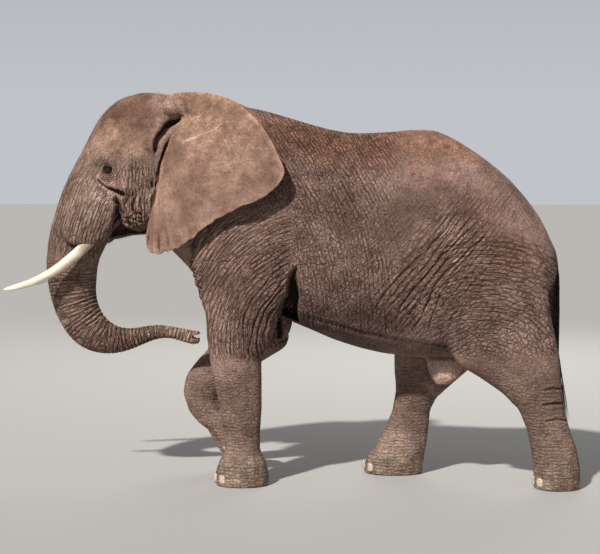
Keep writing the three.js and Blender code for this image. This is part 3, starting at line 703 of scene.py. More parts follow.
# Hide finish: dry, dusty grey-brown skin. Each point carries the lie of its creases in three
# stretched grains, how deep each is cut, and a ground tint; the shader cuts the cracks themselves.
# PROFILE is the front of face and trunk in side view, from the brow down.
PROFILE = [(-1.706, 3.05), (-1.796, 2.88), (-1.886, 2.715), (-1.971, 2.545), (-2.036, 2.37),
           (-2.091, 2.19), (-2.131, 2.02), (-2.14, 1.85)]
points = values_of(skin.vertices, "co", 3)
ear = values_of(skin.attributes["ear"].data, "value")
limb = spread(values_of(skin.attributes["limb"].data, "value"), 3)
snout = spread(values_of(skin.attributes["snout"].data, "value"), 3)
ear = spread(ear, 2)
zone = zones(points, ear, limb, snout)
flow = flows(points)
x, y, z = points[:, 0], np.abs(points[:, 1]), points[:, 2]
facing = normals()
up = facing[:, 2]
off_trunk, _ = from_line(x, z, TRUNK)
off_face, down_face = from_line(x, z, PROFILE)


def stack(*columns):
    """Columns side by side as the rows of one array."""
    return np.stack(columns, axis=1)


def choose(options):
    """The strongest zone's grain at each point, and how strong it is."""
    strengths = np.stack([strength for strength, _ in options])
    first = np.argmax(strengths, axis=0)
    grains = np.stack([grain for _, grain in options])
    return grains[first, np.arange(len(first))], strengths[first, np.arange(len(first))]


across_body = points[:, 1]
# the ear's faint creases fan out from its root
EAR_FAN = (-1.10, 2.75)
fan_reach = np.hypot(x - EAR_FAN[0], z - EAR_FAN[1])
fan_turn = np.arctan2(z - EAR_FAN[1], x - EAR_FAN[0])
GRAINS = {
    "grain_a": [
        (zone["arm"], stack(flow["elbow"] / 0.032, flow["elbow_turn"] * 7.5, across_body / 0.14)),
        (zone["thigh"], stack(flow["knee"] / 0.036, flow["knee_turn"] * 8.5, across_body / 0.18)),
        (zone["cheek"] * 1.2, stack(x / 0.027, z / 0.15, across_body / 0.12))],
    "grain_b": [
        (zone["steep"] * 0.9,
         stack(flow["steep"] / 0.034, (z - 0.5 * x) / 0.085, across_body / 0.14)),
        (zone["shin"] * 0.60, stack(z / 0.028, x / 0.065, across_body / 0.11)),
        (zone["face"], stack(off_face / 0.027, down_face / 0.13, across_body / 0.10))],
    "grain_c": [
        (zone["flank"] * 0.55 + 0.55 * zone["deep"],
         stack(flow["across"] / 0.037, flow["along"] / 0.110, across_body / 0.20)),
        (zone["ring"], stack(flow["trunk"] / 0.031, across_body / 0.12, off_trunk / 0.12)),
        (ear * 0.16 * ramp(fan_reach, 0.2, 0.6),
         stack(fan_turn * 11.0, fan_reach / 0.2, across_body / 0.2))],
}
bare = 1 - ear
net = bare * (0.60 + 0.40 * ramp(x, -0.5, 0.0) * ramp(x, 0.9, 0.4)) * ramp(z, 0.08, 0.3)
net *= 1 - 0.55 * zone["brow"] - 0.4 * limb * ramp(z, 0.45, 0.2)
net += 0.22 * ear
cut_depths = []
for name, options in GRAINS.items():
    grain, depth = choose(options)
    store(skin, name, "FLOAT_VECTOR", grain)
    cut_depths.append(depth)
store(skin, "cuts", "FLOAT_COLOR", stack(*cut_depths, net))


def shade(tint):
    """A tint given as screen values from 0 to 255, as linear light."""
    c = np.array(tint) / 255
    return np.where(c < 0.04045, c / 12.92, ((c + 0.055) / 1.055)**2.4)


GROUND = (167, 140, 129)
rough_edge = 0.30 * drift(points, 0.55, 31) + 0.22 * drift(points, 0.21, 32) + 0.16 * drift(
    points, 0.09, 33)


def patch(amount, low=0.3, high=0.75):
    """The same amount with its even edges broken into patches by the drift of three scales."""
    return np.clip(amount, 0, 1) * ramp(amount + rough_edge, low, high)


# each zone's tint over the ground, and how much of it shows
TINTS = [
    ((164, 127, 109), patch(ramp(z + 0.20 * up, 2.55, 3.05) * ramp(x, -0.9, 0.1) * bare, 0.1, 0.7)),
    ((152, 123, 111), patch(hump(x, z, (1.60, 2.35), (0.42, 0.26), -0.8), 0.35, 0.8) * bare),
    ((148, 119, 106), patch(hump(x, z, (1.85, 2.02), (0.30, 0.34)), 0.2, 0.8) * bare),
    ((132, 110, 100), hump(x, z, (0.95, 2.35), (0.42, 0.22), 0.2) * bare * 0.8),
    ((150, 125, 112), bare * ramp(x, -0.95, -1.25)),
    ((122, 97, 84), bare * ramp(x, -1.1, -1.25) * patch(ramp(z, 2.90, 3.12), 0.2, 0.6)),
    ((104, 78, 68), bare * patch(hump(x, z, (-1.57, 3.08), (0.26, 0.10), 0.75, 1.5), 0.25, 0.55)),
    ((178, 147, 127), bare * patch(hump(x, z, (-1.38, 2.93), (0.24, 0.13), -0.35), 0.30, 0.60)),
    ((120, 103, 95), bare * hump(x, z, (-1.56, 2.68), (0.13, 0.12)) * ramp(y, 0.1, 0.2) * 0.5),
    ((152, 124, 109), ear),
    ((166, 135, 115), patch(ramp(z, 2.75, 3.1), 0.2, 0.9) * ear),
    ((136, 110, 100), patch(ear * (0.75 * ramp(x, -0.45, -0.1) + 0.5 * ramp(z, 2.6, 2.3)), 0.3, 0.8)),
    # painted shade: darker low on the flank and belly, most where the skin faces down
    ((142, 119, 110), bare * ramp(z + 0.4 * up, 1.75, 1.15) * ramp(x, -0.7, 0.0) * (1 - limb)),
    ((158, 135, 123), limb * ramp(z, 1.2, 0.7)),
    ((150, 134, 120), limb * ramp(z, 0.34, 0.10)),
    ((190, 165, 150), bare * hump(x, z, (-1.84, 2.25), (0.28, 0.46))),
    ((196, 170, 157), bare * hump(x, z, (-1.45, 2.40), (0.20, 0.24))),
    ((150, 132, 120), hump(x, z, (EYE[0] + 0.004, EYE[2] + 0.046), (0.046, 0.014)) * bare),
    # painted highlight: light caught on the fold under the lower lid
    ((204, 180, 166), hump(x, z, (EYE[0] + 0.008, EYE[2] - 0.044), (0.046, 0.012), 0.1) * bare),
    # the lid rims' own dark skin and, wider round the eye, painted shade of the lids
    ((14, 11, 10), hump(x, z, (EYE[0], EYE[2] + 0.003), (0.041, 0.033), 0.0, 2.5) * bare),
    ((156, 132, 119), snout * ramp(flow["trunk"], 0.6, 1.2)),
    ((226, 199, 178), snout * ramp(flow["trunk"], 1.9, 2.4)),
    # the sheath's own paler skin, made paler still as painted light where the belly shades it
    ((214, 184, 170), hump(x, z, (1.32, 0.93), (0.26, 0.14)) * ramp(y, 0.13, 0.07)),
    # painted shade: darker down the cleft between the buttocks and over the tail below it
    ((86, 72, 65), ramp(x, 2.10, 2.16) * ramp(y, 0.11, 0.05) * ramp(z, 2.00, 1.75)),
    ((52, 44, 40), ramp(x, 2.185, 2.215) * ramp(y, 0.070, 0.045) * ramp(z, 2.00, 1.80)),
]
tint = np.tile(shade(GROUND), (len(points), 1))
for color, amount in TINTS:
    tint += (shade(color) - tint) * np.clip(amount, 0, 1)[:, None]
dust = np.clip(0.30 + 0.6 * ramp(z, 2.3, 3.1) + 0.5 * limb * ramp(z, 0.5, 0.1), 0, 1)
# no dust about the eye, so the painted shade round it stays dark
dust *= 1 - hump(x, z, (EYE[0], EYE[2]), (0.06, 0.05), 0.0, 2.0)
store(skin, "tint", "FLOAT_COLOR", np.c_[tint, np.clip(dust, 0, 1)])
# only what the finish reads stays on the skin
for name in ("ease", "limb", "snout"):
    skin.attributes.remove(skin.attributes[name])


def new_group(name, inputs, outputs):
    """An empty shader group: its tree, its input sockets and its output node. An input has a
    default number, or None for a vector."""
    group = bpy.data.node_groups.new(name, "ShaderNodeTree")
    for label, value in inputs.items():
        kind = "NodeSocketVector" if value is None else "NodeSocketFloat"
        socket = group.interface.new_socket(label, in_out="INPUT", socket_type=kind)
        if value is not None:
            socket.default_value = value
    for label in outputs:
        group.interface.new_socket(label, in_out="OUTPUT", socket_type="NodeSocketFloat")
    return group, node(group, "NodeGroupInput").outputs, node(group, "NodeGroupOutput")


def placed(tree, group, inputs):
    """A shader group placed once in a material, with its own values."""
    return node(tree, "ShaderNodeGroup", inputs, node_tree=group).outputs


def attribute(tree, name):
    """The sockets of a value, vector or colour kept at each point."""
    return node(tree, "ShaderNodeAttribute", attribute_name=name).outputs


def calc(tree, operation, *values):
    """One operation on numbers or sockets."""
    return node(tree, "ShaderNodeMath", dict(enumerate(values)), operation=operation).outputs[0]


def vector_calc(tree, operation, a, b):
    """One operation on two vectors."""
    made = node(tree, "ShaderNodeVectorMath", {0: a, 1: b}, operation=operation)
    return made.outputs["Value" if operation == "DOT_PRODUCT" else "Vector"]


def scaled(tree, vector, amount):
    """A vector times a number."""
    made = node(tree, "ShaderNodeVectorMath", {0: vector, "Scale": amount}, operation="SCALE")
    return made.outputs[0]


def smooth_range(tree, value, low, high, start=0.0, end=1.0):
    """An S-curve from start, where the value is low, to end, where it is high."""
    made = node(tree, "ShaderNodeMapRange", {"Value": value, "From Min": low, "From Max": high,
                                             "To Min": start, "To Max": end},
                interpolation_type="SMOOTHSTEP")
    return made.outputs[0]


def noise(tree, place, scale, detail, roughness=0.5, output="Fac"):
    """Cloudy noise: how many waves to a metre, how many finer ones, and how strong those are."""
    made = node(tree, "ShaderNodeTexNoise", {"Vector": place, "Scale": scale, "Detail": detail,
                                             "Roughness": roughness})
    return made.outputs[output]


def cell_walls(tree, place, scale, randomness=1.0):
    """The distance from each place to the nearest wall between random cells."""
    made = node(tree, "ShaderNodeTexVoronoi", {"Vector": place, "Scale": scale,
                                               "Randomness": randomness},
                feature="DISTANCE_TO_EDGE")
    return made.outputs["Distance"]


def swayed(tree, start, place, amount, scale, detail, roughness=0.5):
    """A start moved by the noise at a place, at most half the amount each way."""
    sway = noise(tree, place, scale, detail, roughness, "Color")
    centred = vector_calc(tree, "SUBTRACT", sway, (0.5, 0.5, 0.5))
    return vector_calc(tree, "ADD", start, scaled(tree, centred, amount))


def mixed(tree, factor, a, b, blend="MIX"):
    """Two tints or colour sockets blended by a factor."""
    a, b = (tint if isinstance(tint, bpy.types.NodeSocket) else (*tint, 1.0) for tint in (a, b))
    return node(tree, "ShaderNodeMix", {0: factor, 6: a, 7: b}, data_type="RGBA",
                blend_type=blend).outputs[2]


def layered(tree, ground, coats, blend="MIX"):
    """A ground with coats laid over it in turn, each given by how much of it shows and its tint."""
    for shown, tint in coats:
        ground = mixed(tree, shown, ground, tint, blend)
    return ground


def relief(tree, height):
    """The normal of a surface raised by a height in metres."""
    return node(tree, "ShaderNodeBump", {"Height": height, "Distance": 1.0,
                                         "Strength": 1.0}).outputs[0]


# Creases: two families of long valleys that cross and fade in and out, and the walls of random
# cells, all wavering about a grain given point by point.
creases, given, result = new_group(
    "creases", {"Grain": None, "Wander": 0.5, "Cross": 0.6, "Pitch": 2.6}, ("Height", "Crack"))
bent = swayed(creases, given["Grain"], given["Grain"], given["Wander"], 0.36, 2.0, 0.55)
split = node(creases, "ShaderNodeSeparateXYZ", {"Vector": bent}).outputs
fade = noise(creases, bent, 0.55, 1.0)


def valleys(tree, value, shown):
    """Sharp valleys at the whole numbers of a value, as deep as shown: 1 less the size of the sine,
    to the power 1.7."""
    wave = calc(tree, "SINE", calc(tree, "MULTIPLY", value, math.pi))
    sharp = calc(tree, "SUBTRACT", 1.0, calc(tree, "ABSOLUTE", wave))
    return calc(tree, "MULTIPLY", calc(tree, "POWER", sharp, 1.7), shown)


along = valleys(creases, split[0], smooth_range(creases, fade, 0.34, 0.58, 0.25, 1.0))
crossing = calc(creases, "MULTIPLY", smooth_range(creases, fade, 0.66, 0.40, 0.15, 1.0),
                given["Cross"])
across = valleys(creases, calc(creases, "MULTIPLY", split[1], given["Pitch"]), crossing)
wall = smooth_range(creases, cell_walls(creases, bent, 1.0, 0.95), 0.22, 0.0)
deep = calc(creases, "MAXIMUM", calc(creases, "MAXIMUM", along, across),
            calc(creases, "MULTIPLY", wall, 0.70))
fill(creases, result, {"Height": calc(creases, "SUBTRACT", 1.0, deep),
                       "Crack": smooth_range(creases, deep, 0.22, 0.86)})

# Scratch: a thin straight line between two places seen from the side, fading at both ends.
scratch, given, result = new_group(
    "scratch", {"Place": None, "From": None, "To": None, "Width": 0.006}, ("Pale",))
route, reach = (
    vector_calc(scratch, "MULTIPLY", vector_calc(scratch, "SUBTRACT", given[end], given["From"]),
                (1.0, 0.0, 1.0)) for end in ("To", "Place"))
share = calc(scratch, "DIVIDE", vector_calc(scratch, "DOT_PRODUCT", reach, route),
             vector_calc(scratch, "DOT_PRODUCT", route, route))
aside = vector_calc(scratch, "SUBTRACT", reach, scaled(scratch, route, share))
off = calc(scratch, "SQRT", vector_calc(scratch, "DOT_PRODUCT", aside, aside))
line = smooth_range(scratch, calc(scratch, "DIVIDE", off, given["Width"]), 1.0, 0.2)
ends = calc(scratch, "MULTIPLY", smooth_range(scratch, share, 0.0, 0.15),
            smooth_range(scratch, share, 1.0, 0.80))
fill(scratch, result, {"Pale": calc(scratch, "MULTIPLY", line, ends)})

hide_finish, tree, shader = finish("hide_finish")
at_skin = node(tree, "ShaderNodeTexCoord").outputs["Object"]
cuts, tints, hollows, ears = (attribute(tree, name) for name in ("cuts", "tint", "hollow", "ear"))
depths = node(tree, "ShaderNodeSeparateColor", {"Color": cuts["Color"]}).outputs
patches = noise(tree, at_skin, 2.6, 7.0, 0.62)
blotch = noise(tree, at_skin, 13.0, 7.0, 0.70)
speckle = noise(tree, at_skin, 60.0, 3.0, 0.65)
# the finest net: cells a few centimetres wide, all over
shaken = swayed(tree, at_skin, at_skin, 0.030, 24.0, 2.0)
wide_wall = cell_walls(tree, shaken, 34.0)
fine_wall = cell_walls(tree, shaken, 88.0)
net_height = calc(tree, "MULTIPLY_ADD", smooth_range(tree, fine_wall, 0.0, 0.35), 0.4,
                  smooth_range(tree, wide_wall, 0.0, 0.28, 0.0, 0.6))
net_crack = calc(tree, "MAXIMUM", smooth_range(tree, wide_wall, 0.12, 0.0),
                 smooth_range(tree, fine_wall, 0.16, 0.0, 0.0, 0.6))
# each layer: its height and cracks, how deep it is cut at each point, and the most in metres
layers = []
for name, wander, cross, pitch, depth, metres in (
        ("grain_a", 1.1, 0.55, 2.4, depths[0], 0.0115),
        ("grain_b", 1.3, 0.65, 2.2, depths[1], 0.0120),
        ("grain_c", 0.8, 0.75, 2.8, depths[2], 0.0130)):
    made = placed(tree, creases, {"Grain": attribute(tree, name)["Vector"], "Wander": wander,
                                  "Cross": cross, "Pitch": pitch})
    layers.append((made["Height"], made["Crack"], depth, metres))
layers.append((net_height, net_crack, cuts["Alpha"], 0.0060))
raised, crack_dirt_and_shade = None, None
for height, crack, depth, metres in layers:
    cut = calc(tree, "MULTIPLY", calc(tree, "SUBTRACT", height, 1.0),
               calc(tree, "MULTIPLY", depth, metres))
    line = calc(tree, "MULTIPLY", crack,
                calc(tree, "MINIMUM", calc(tree, "MULTIPLY", depth, 1.1), 1.0))
    raised = cut if raised is None else calc(tree, "ADD", raised, cut)
    crack_dirt_and_shade = line if crack_dirt_and_shade is None else calc(tree, "MAXIMUM", crack_dirt_and_shade, line)
raised = calc(tree, "MULTIPLY_ADD", speckle, 0.0040, raised)
# thorn scratches on the ears: start and end in x and z, half width and how pale
SCRATCHES = [
    ((-0.925, 2.885), (-0.740, 2.940), 0.013, 0.62), ((-0.830, 2.905), (-0.500, 3.085), 0.008, 0.58),
    ((-0.860, 3.070), (-0.570, 3.200), 0.007, 0.42), ((-0.760, 3.130), (-0.560, 3.240), 0.006, 0.36),
    ((-0.560, 2.960), (-0.330, 2.730), 0.005, 0.30), ((-0.720, 2.610), (-0.430, 2.700), 0.005, 0.26),
    ((-0.980, 2.520), (-0.760, 2.340), 0.005, 0.26), ((-0.380, 2.540), (-0.220, 2.720), 0.005, 0.30),
    ((-0.480, 3.060), (-0.200, 2.830), 0.006, 0.34),
]
bowed = swayed(tree, shaken, at_skin, 0.16, 4.5, 3.0)
worn = None
for (x0, z0), (x1, z1), width, pale in SCRATCHES:
    made = placed(tree, scratch, {"Place": bowed, "From": (x0, 0.0, z0), "To": (x1, 0.0, z1),
                                  "Width": width})
    one = calc(tree, "MULTIPLY", made["Pale"], pale)
    worn = one if worn is None else calc(tree, "MAXIMUM", worn, one)
worn = calc(tree, "MULTIPLY", worn, smooth_range(tree, blotch, 0.42, 0.56))
# drifts of dust and stain, then the scratches, then dirt and painted shade in cracks and hollows, and
# a painted highlight on the rises
dusty = calc(tree, "MULTIPLY", smooth_range(tree, speckle, 0.50, 0.68),
             calc(tree, "MULTIPLY", tints["Alpha"], smooth_range(tree, patches, 0.36, 0.62)))
dusted = calc(tree, "MULTIPLY", smooth_range(tree, blotch, 0.50, 0.62), tints["Alpha"])
ground = layered(tree, tints["Color"], (
    (smooth_range(tree, patches, 0.38, 0.66, 1.0, 0.0), (0.62, 0.58, 0.57)),
    (dusty, (1.55, 1.49, 1.42)),
    (dusted, (1.40, 1.33, 1.27)),
    (smooth_range(tree, blotch, 0.50, 0.38), (0.80, 0.76, 0.74)),
    (smooth_range(tree, speckle, 0.46, 0.32), (0.70, 0.66, 0.64))), "MULTIPLY")
ground = mixed(tree, calc(tree, "MULTIPLY", worn, ears["Fac"]), ground, (0.70, 0.51, 0.39))
# dirt and painted shade in the cracks and hollows, and a painted highlight on the rises
ground = layered(tree, ground, (
    (calc(tree, "MULTIPLY", crack_dirt_and_shade, 0.96), (0.155, 0.125, 0.11)),
    (smooth_range(tree, hollows["Fac"], 0.08, 0.62), (0.30, 0.26, 0.25)),
    (smooth_range(tree, hollows["Fac"], -0.08, -0.6), (1.22, 1.20, 1.18))), "MULTIPLY")
fill(tree, shader, {"Base Color": ground, "Normal": relief(tree, raised), "Roughness": 0.85,
                    "Specular IOR Level": 0.10})
skin.materials.clear()
skin.materials.append(hide_finish)
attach(hide, "root")
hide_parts(*FLESH, "ear_left", "ear_right")

# Eyes: a wet amber-brown ball behind each pair of lids, its clear front bulging over the pupil.
# Each point keeps its angle from the line of sight, which the finish reads for pupil and iris.
EYE_HALF = 0.5 * float(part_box("eye_right")[1][1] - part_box("eye_right")[0][1])
EYE_PROUD = 0.0004
CORNEA_ANGLE = 0.62
CORNEA_RISE = 0.0016
SIGHT = (-0.22, -1.0, -0.05)
PUPIL_ANGLE = 0.26
IRIS_ANGLE = 0.58


def unit(ways):
    """Directions of length one: each divided by the root of the sum of its squares."""
    ways = np.asarray(ways, float)
    return ways / np.linalg.norm(ways, axis=-1, keepdims=True)


def eyeball(side):
    """Point (u, v): u round the line of sight, v the angle from it. The radius is that of the ball,
    raised by a squared cosine hill where v is less than the cornea's angle."""
    u, v = grid(2 * np.pi, 49, np.pi, 49)
    way = unit([SIGHT[0], SIGHT[1] * -side, SIGHT[2]])
    first = unit(np.cross(way, (0.0, 0.0, 1.0)))
    second = unit(np.cross(way, first))
    hill = np.cos(0.5 * np.pi * np.clip(v / CORNEA_ANGLE, 0, 1))**2
    radius = EYE_HALF + EYE_PROUD + CORNEA_RISE * hill
    off = (np.cos(v)[..., None] * way + (np.sin(v) * np.cos(u))[..., None] * first
           + (np.sin(v) * np.sin(u))[..., None] * second)
    middle = np.array([EYE[0], side * abs(EYE[1]), EYE[2]])
    mesh = make_mesh("eyeball", middle + radius[..., None] * off, quads(49, 49))
    points = values_of(mesh.vertices, "co", 3) - middle
    angle = np.arccos(np.clip(points @ way / np.linalg.norm(points, axis=1), -1, 1))
    around = np.arctan2(points @ second, points @ first)
    store(mesh, "sight", "FLOAT_VECTOR", stack(angle, np.cos(around), np.sin(around)))
    mesh.shade_smooth()
    return mesh


def add_piece(name, mesh, finish_of, slot, *stands_for):
    """Puts a mesh in the scene as a piece of the still body, in place of its solids."""
    piece = bpy.data.objects.new(name, mesh)
    bpy.context.collection.objects.link(piece)
    mesh.materials.append(finish_of)
    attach(piece, "root")
    if stands_for:
        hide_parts(*stands_for)


def stretched(tree, place, scale):
    """A place scaled along each of its axes."""
    return node(tree, "ShaderNodeMapping", {"Vector": place, "Scale": scale}).outputs[0]


eye_finish, tree, shader = finish("eye_finish")
sight = attribute(tree, "sight")["Vector"]
angle = node(tree, "ShaderNodeSeparateXYZ", {"Vector": sight}).outputs[0]
fibre = noise(tree, stretched(tree, sight, (5.0, 14.0, 14.0)), 1.0, 3.0)
iris = mixed(tree, smooth_range(tree, fibre, 0.35, 0.65), (0.055, 0.022, 0.009),
             (0.19, 0.085, 0.030))
white = mixed(tree, smooth_range(tree, fibre, 0.3, 0.7), (0.022, 0.014, 0.011),
              (0.055, 0.036, 0.028))
ball = layered(tree, iris, (
    (smooth_range(tree, angle, IRIS_ANGLE, IRIS_ANGLE + 0.06), white),
    (smooth_range(tree, angle, IRIS_ANGLE - 0.12, IRIS_ANGLE), (0.010, 0.006, 0.004)),
    (smooth_range(tree, angle, IRIS_ANGLE, IRIS_ANGLE + 0.10), white),
    (smooth_range(tree, angle, PUPIL_ANGLE + 0.03, PUPIL_ANGLE), (0.002, 0.002, 0.002))))
fill(tree, shader, {"Base Color": ball, "Roughness": 0.06, "IOR": 1.36,
                    "Specular IOR Level": 0.35})
for side, name in SIDES:
    add_piece(f"eyeball_{name}", eyeball(side), eye_finish, "eye", f"eye_{name}")

# Tusks: solid ivory, curving forwards, down and then level from a socket beside the trunk, thinnest
# at the worn round tip. A round section is carried along the curve, and each point keeps its metres
# down the curve and its offset from it.
TUSK_LINE = [
    (-1.690, 0.238, 2.160), (-1.775, 0.265, 2.066), (-1.905, 0.293, 1.942), (-2.075, 0.316, 1.812),
    (-2.250, 0.325, 1.720), (-2.420, 0.318, 1.666), (-2.522, 0.305, 1.646),
]
TUSK_RADII = (0.056, 0.022)
TUSK_GAP = 0.0004
TUSK_ROWS, TUSK_ROUND = 96, 32


def carried(line, across, rows, round_by, radius):
    """A closed tube and its middle line: at each share t of the line, a circle of the given radius
    about the line, square to it, whose zero angle points along across crossed with the line."""
    t = np.linspace(0, 1, rows)
    middle = through(line, t)
    along = unit(np.gradient(middle, axis=0))
    up = unit(np.cross(across, along))
    flat = np.cross(along, up)
    a = np.linspace(0, 2 * np.pi, round_by + 1)
    size = radius(t)[:, None, None]
    ring = middle[:, None] + size * (np.cos(a)[:, None] * up[:, None]
                                     + np.sin(a)[:, None] * flat[:, None])
    ends = [np.repeat(middle[k][None, None], round_by + 1, axis=1) for k in (0, -1)]
    return np.concatenate([ends[0], ring, ends[1]]), middle


def tusk_radius(t):
    """The straight taper from root to end, times the root of 1 less the ninth power of the share,
    which rounds the tip."""
    taper = TUSK_RADII[0] + (TUSK_RADII[1] - TUSK_RADII[0]) * t
    return taper * np.sqrt(np.maximum(1 - (0.995 * t)**9, 0)) - TUSK_GAP


ivory_finish, tree, shader = finish("ivory_finish")
run = attribute(tree, "run")["Vector"]
down_run = node(tree, "ShaderNodeSeparateXYZ", {"Vector": run}).outputs[0]
streak = noise(tree, stretched(tree, run, (3.5, 60.0, 60.0)), 1.0, 5.0, 0.6)
scuffs = noise(tree, stretched(tree, run, (14.0, 300.0, 300.0)), 1.0, 2.0)
cloud = noise(tree, node(tree, "ShaderNodeTexCoord").outputs["Object"], 7.0, 5.0, 0.6)
stain = calc(tree, "ADD", smooth_range(tree, down_run, 0.36, 0.17),
             calc(tree, "MULTIPLY_ADD", streak, 0.9, -0.45))
ivory = layered(tree, (0.86, 0.80, 0.68), (
    (smooth_range(tree, streak, 0.35, 0.68), (0.72, 0.62, 0.46)),
    (smooth_range(tree, cloud, 0.52, 0.72, 0.0, 0.5), (0.62, 0.50, 0.34)),
    (smooth_range(tree, stain, 0.25, 1.05, 0.0, 0.85), (0.30, 0.20, 0.13)),
    (smooth_range(tree, scuffs, 0.63, 0.70, 0.0, 0.6), (0.34, 0.25, 0.17))))
grooves = calc(tree, "ADD", calc(tree, "MULTIPLY", streak, 0.0022),
               smooth_range(tree, scuffs, 0.60, 0.70, 0.0, -0.0008))
fill(tree, shader, {"Base Color": ivory, "Normal": relief(tree, grooves),
                    "Roughness": smooth_range(tree, streak, 0.3, 0.7, 0.32, 0.50)})

for side, name in SIDES:
    line = np.array(TUSK_LINE) * (1, side, 1) + (SHIFT, 0, 0)
    points, middle = carried(line, (0.0, 1.0, 0.0), TUSK_ROWS, TUSK_ROUND, tusk_radius)
    mesh = make_mesh("tusk", points, quads(TUSK_ROWS + 2, TUSK_ROUND + 1))
    at = values_of(mesh.vertices, "co", 3)
    nearest = np.argmin(((at[:, None] - middle[None])**2).sum(axis=2), axis=1)
    off = at - middle[nearest]
    length = np.r_[0, np.cumsum(np.linalg.norm(np.diff(middle, axis=0), axis=1))]
    store(mesh, "run", "FLOAT_VECTOR", stack(length[nearest], off[:, 1], off[:, 2]))
    mesh.shade_smooth()
    add_piece(f"ivory_tusk_{name}", mesh, ivory_finish, "ivory", f"tusk_{name}")

# Toenails: blunt pale shields of horn round the front rim of each foot, domed, ridged by growth
# and worn flat below. The lifted foot's are turned with it about its wrist. TRACK is how far out a
# foot stands. For each foot, at is its middle in side view, reach and width are the half length and
# half width of its front rim, and pitch is the turn.
TRACK = {"fore": 0.335, "hind": 0.325}
FEET = {
    "left_fore": dict(side=-1, nails=4, at=(-0.470, 0.064), reach=0.232, width=0.212, pitch=0.0),
    "right_fore": dict(side=1, nails=4, at=(-0.548, 0.300), reach=0.216, width=0.208, pitch=0.63),
    "left_hind": dict(side=-1, nails=3, at=(2.182, 0.062), reach=0.196, width=0.194, pitch=0.0),
    "right_hind": dict(side=1, nails=3, at=(0.804, 0.062), reach=0.262, width=0.198, pitch=0.0),
}
NAIL_FAN = {4: 0.55, 3: 0.66}
NAIL_HALF = (0.041, 0.043)
NAIL_STAND = 0.013
NAIL_BACK = 0.012
NAIL_SUNK = 0.002


def nail(middle, out, level, up):
    """Point (u, v): u round the shield, v from its middle to its rim. A rounded square, cut short
    below, whose front stands out as the 0.55th power of 1 less the 2.4th power of v, ridged across
    by slow waves, and whose back is a flat lens."""
    u, v = grid(2 * np.pi, 41, 1, 15)
    c, s = np.cos(u), np.sin(u)
    reach = (np.abs(c)**2.7 + np.abs(s)**2.7)**(-1 / 2.7)
    across, height = v * reach * c, v * reach * s
    height = np.where(height < -0.72, -0.72 + 0.25 * (height + 0.72), height)
    narrow = 1 - 0.13 * np.clip(height, 0, 1)**2
    dome = np.maximum(1 - v**2.4, 0)**0.55
    ridges = 0.0009 * np.sin(height * 17 + 1.5 * np.sin(across * 2)) * dome
    base = middle + (across * narrow * NAIL_HALF[0])[..., None] * level + (
        height * NAIL_HALF[1])[..., None] * up
    curl = -0.010 * across**2
    front = base + (dome * NAIL_STAND + ridges + curl)[..., None] * out
    back = base + (-dome * NAIL_BACK + curl)[..., None] * out
    faces = np.vstack([quads(41, 15), quads(41, 15, 41 * 15)])
    return np.stack([front, back]).reshape(-1, 3), faces


horn_finish, tree, shader = finish("horn_finish")
at_horn = node(tree, "ShaderNodeTexCoord").outputs["Object"]
growth = noise(tree, stretched(tree, at_horn, (9.0, 9.0, 120.0)), 1.0, 4.0, 0.6)
grime = noise(tree, at_horn, 55.0, 5.0, 0.65)
level_z = node(tree, "ShaderNodeSeparateXYZ", {"Vector": at_horn}).outputs[2]
horn = layered(tree, (0.43, 0.35, 0.27), (
    (smooth_range(tree, growth, 0.35, 0.65), (0.60, 0.52, 0.42)),
    (smooth_range(tree, grime, 0.42, 0.66, 0.0, 0.7), (0.24, 0.18, 0.14)),
    (smooth_range(tree, level_z, 0.05, 0.0, 0.0, 0.6), (0.22, 0.17, 0.13))))
rise = calc(tree, "MULTIPLY_ADD", growth, 0.0022, calc(tree, "MULTIPLY", grime, 0.0014))
fill(tree, shader, {"Base Color": horn, "Normal": relief(tree, rise),
                    "Roughness": smooth_range(tree, grime, 0.3, 0.7, 0.45, 0.75)})

for foot, make in FEET.items():
    track = TRACK[foot.split("_")[1]]
    shape, faces, start = [], [], 0
    for i in range(make["nails"]):
        fan = (i - (make["nails"] - 1) / 2) * NAIL_FAN[make["nails"]]
        c, s = math.cos(make["pitch"]), math.sin(make["pitch"])
        ahead = (make["reach"] - NAIL_SUNK) * math.cos(fan)
        middle = np.array([make["at"][0] + SHIFT - ahead * c,
                           make["side"] * track + make["width"] * math.sin(fan),
                           make["at"][1] - ahead * s])
        turn = math.atan2(-make["width"] * math.sin(fan), make["reach"] * math.cos(fan))
        out = np.array([-math.cos(turn) * c, -math.sin(turn), -math.cos(turn) * s])
        up = np.array([-s, 0.0, c])
        up = unit(up - out * (up @ out))
        points_of, squares = nail(middle, out, np.cross(out, up), up)
        shape.append(points_of)
        faces.append(squares + start)
        start += len(points_of)
    mesh = make_mesh("toenails", np.concatenate(shape), np.concatenate(faces))
    mesh.shade_smooth()
    add_piece(f"toenails_{foot}", mesh, horn_finish, "toenail",
              *(f"nail_{foot}_{i + 1}" for i in range(make["nails"])))

# Hair: stiff dark bristle, all of it solid strands. Long wires fringe the front and back of the
# tail's end, lashes hang over each eye, and short bristles stand sparsely on crown, back, chin,
# the trunk's front and its tip. PATCH is the side of each strand's patch on the map.
PATCH = 0.003


def strands(roots, ways, lengths, bends, thick, steps, sides):
    """Strands as closed tubes: the point at share t of a strand is its root, plus its way times its
    length times t, plus its bend times t squared. The tube's radius is thick times the root of 1
    less t squared."""
    t = np.linspace(0, 1, steps + 1)
    middle = (roots[:, None] + ways[:, None] * (lengths[:, None] * t)[..., None]
              + bends[:, None] * (t**2)[None, :, None])
    along = unit(np.gradient(middle, axis=1))
    first = unit(np.cross(along, (0.31, 0.87, 0.38)))
    second = np.cross(along, first)
    a = np.arange(sides) * 2 * np.pi / sides
    radius = thick[:, None] * np.sqrt(np.maximum(1 - (0.985 * t)**2, 0))
    return middle[:, :, None] + radius[..., None, None] * (
        np.cos(a)[:, None] * first[:, :, None] + np.sin(a)[:, None] * second[:, :, None])


